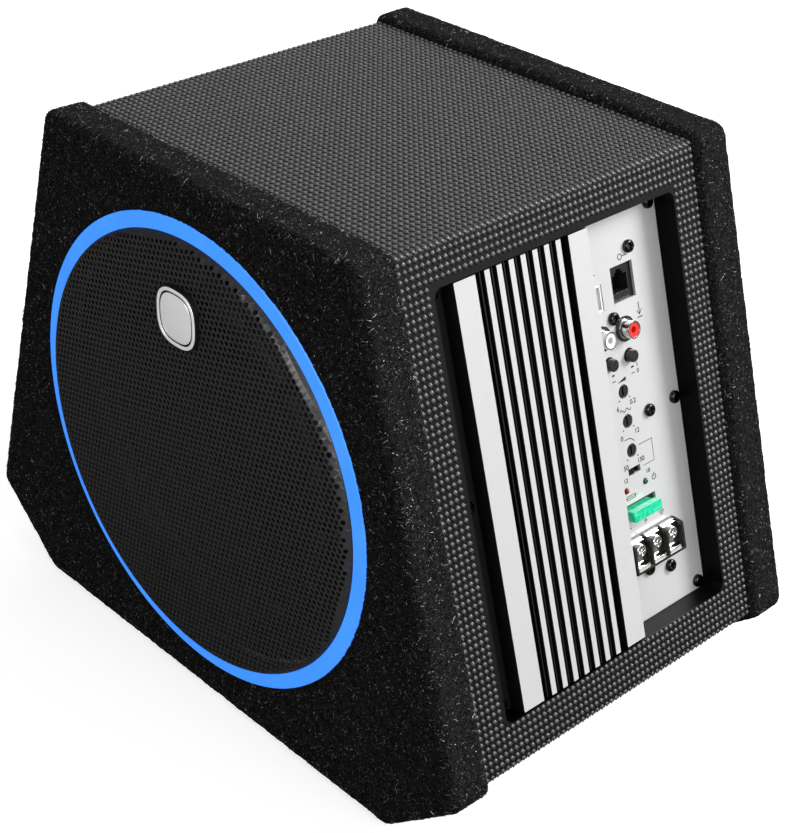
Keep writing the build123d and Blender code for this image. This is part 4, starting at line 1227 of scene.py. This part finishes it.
def world():
    """Soft studio surround: bright behind the object and to its right, dim in front of it."""
    made = bpy.data.worlds.new("studio")
    bpy.context.scene.world = made
    made.use_nodes = True
    nodes, links = made.node_tree.nodes, made.node_tree.links
    background = nodes["Background"]
    coord = nodes.new("ShaderNodeTexCoord")
    dot = nodes.new("ShaderNodeVectorMath")
    dot.operation = "DOT_PRODUCT"
    dot.inputs[1].default_value = (0.5, 0.84, 0.2)
    links.new(coord.outputs["Generated"], dot.inputs[0])
    ramp = nodes.new("ShaderNodeMapRange")
    ramp.inputs[1].default_value = -0.1
    ramp.inputs[2].default_value = 0.65
    ramp.inputs[3].default_value = 0.04
    ramp.inputs[4].default_value = 0.85
    links.new(dot.outputs["Value"], ramp.inputs[0])
    links.new(ramp.outputs[0], background.inputs["Strength"])
    background.inputs["Color"].default_value = (1, 1, 1, 1)


def area_light(name, position, target, size, power):
    """Square softbox aimed at a point."""
    light = bpy.data.lights.new(name, "AREA")
    light.shape = "SQUARE"
    light.size = size
    light.energy = power
    obj = bpy.data.objects.new(name, light)
    bpy.context.scene.collection.objects.link(obj)
    obj.location = position
    obj.rotation_mode = "QUATERNION"
    obj.rotation_quaternion = (Vector(target) - Vector(position)).to_track_quat("-Z", "Y")


def lights():
    """Key high at the right and behind, a faint one at the left and behind, a fill in front."""
    area_light("key", (1.0, 1.25, 1.15), (0.1, 0, 0.15), 0.7, 35)
    area_light("back_left", (-1.15, 1.1, 1.05), (0, 0, 0.2), 0.9, 4)
    area_light("side", (1.9, -0.15, 0.95), (0.1, 0, 0.15), 0.7, 12)
    area_light("front_fill", (0.5, -1.7, 1.1), (0, 0, 0.15), 1.0, 15)


CAMERA_AZIMUTH = 0.81729
CAMERA_ELEVATION = 0.52231
CAMERA_ROLL = 0.020708
CAMERA_DISTANCE = 0.91048
CAMERA_ASIDE = (-0.001707, 0.000610)
CAMERA_LENS = 80.44
CAMERA_SHIFT = (0.0223, -0.0546)


def camera():
    """Camera at the viewing angle of the picture."""
    a, e = CAMERA_AZIMUTH, CAMERA_ELEVATION
    back = Vector((math.sin(a) * math.cos(e), -math.cos(a) * math.cos(e), math.sin(e)))
    right = Vector((math.cos(a), math.sin(a), 0))
    up = back.cross(right)
    centre = Vector((0, (front_low.y + rear_high.y) / 2, (cad_low.z + cad_high.z) / 2))
    place = centre + back * CAMERA_DISTANCE + right * CAMERA_ASIDE[0] + up * CAMERA_ASIDE[1]
    c, s = math.cos(CAMERA_ROLL), math.sin(CAMERA_ROLL)
    axis_x = right * c + up * s
    axis_y = up * c - right * s
    data = bpy.data.cameras.new("camera")
    data.lens = CAMERA_LENS
    data.sensor_width = 36.0
    data.shift_x, data.shift_y = CAMERA_SHIFT
    data.clip_start = 0.05
    obj = bpy.data.objects.new("camera", data)
    bpy.context.scene.collection.objects.link(obj)
    obj.matrix_world = Matrix((
        (axis_x.x, axis_y.x, back.x, place.x),
        (axis_x.y, axis_y.y, back.y, place.y),
        (axis_x.z, axis_y.z, back.z, place.z),
        (0, 0, 0, 1),
    ))
    bpy.context.scene.camera = obj


FIBRE = fibre_finish()
# painted highlight: the nubs are a lighter, shinier copy of the vinyl, standing in for the light their raised
# flanks catch
NUB = vinyl_finish("vinyl_nub", (0.035, 0.035, 0.035), (0.06, 0.06, 0.062), 1.0)
GRILLE_STEEL = black_steel_finish("grille_steel", (0.025, 0.025, 0.026), (0.045, 0.045, 0.047), 0.9)
FIBRES = {"front": 30000, "rear": 26000}

dress_nodes()
slabs()
vinyl_nubs()
grille()
badge_face()
surround()
spider()
markings()
floor()
world()
lights()
camera()

view = bpy.context.scene.view_settings
view.view_transform = "Standard"
view.look = "None"
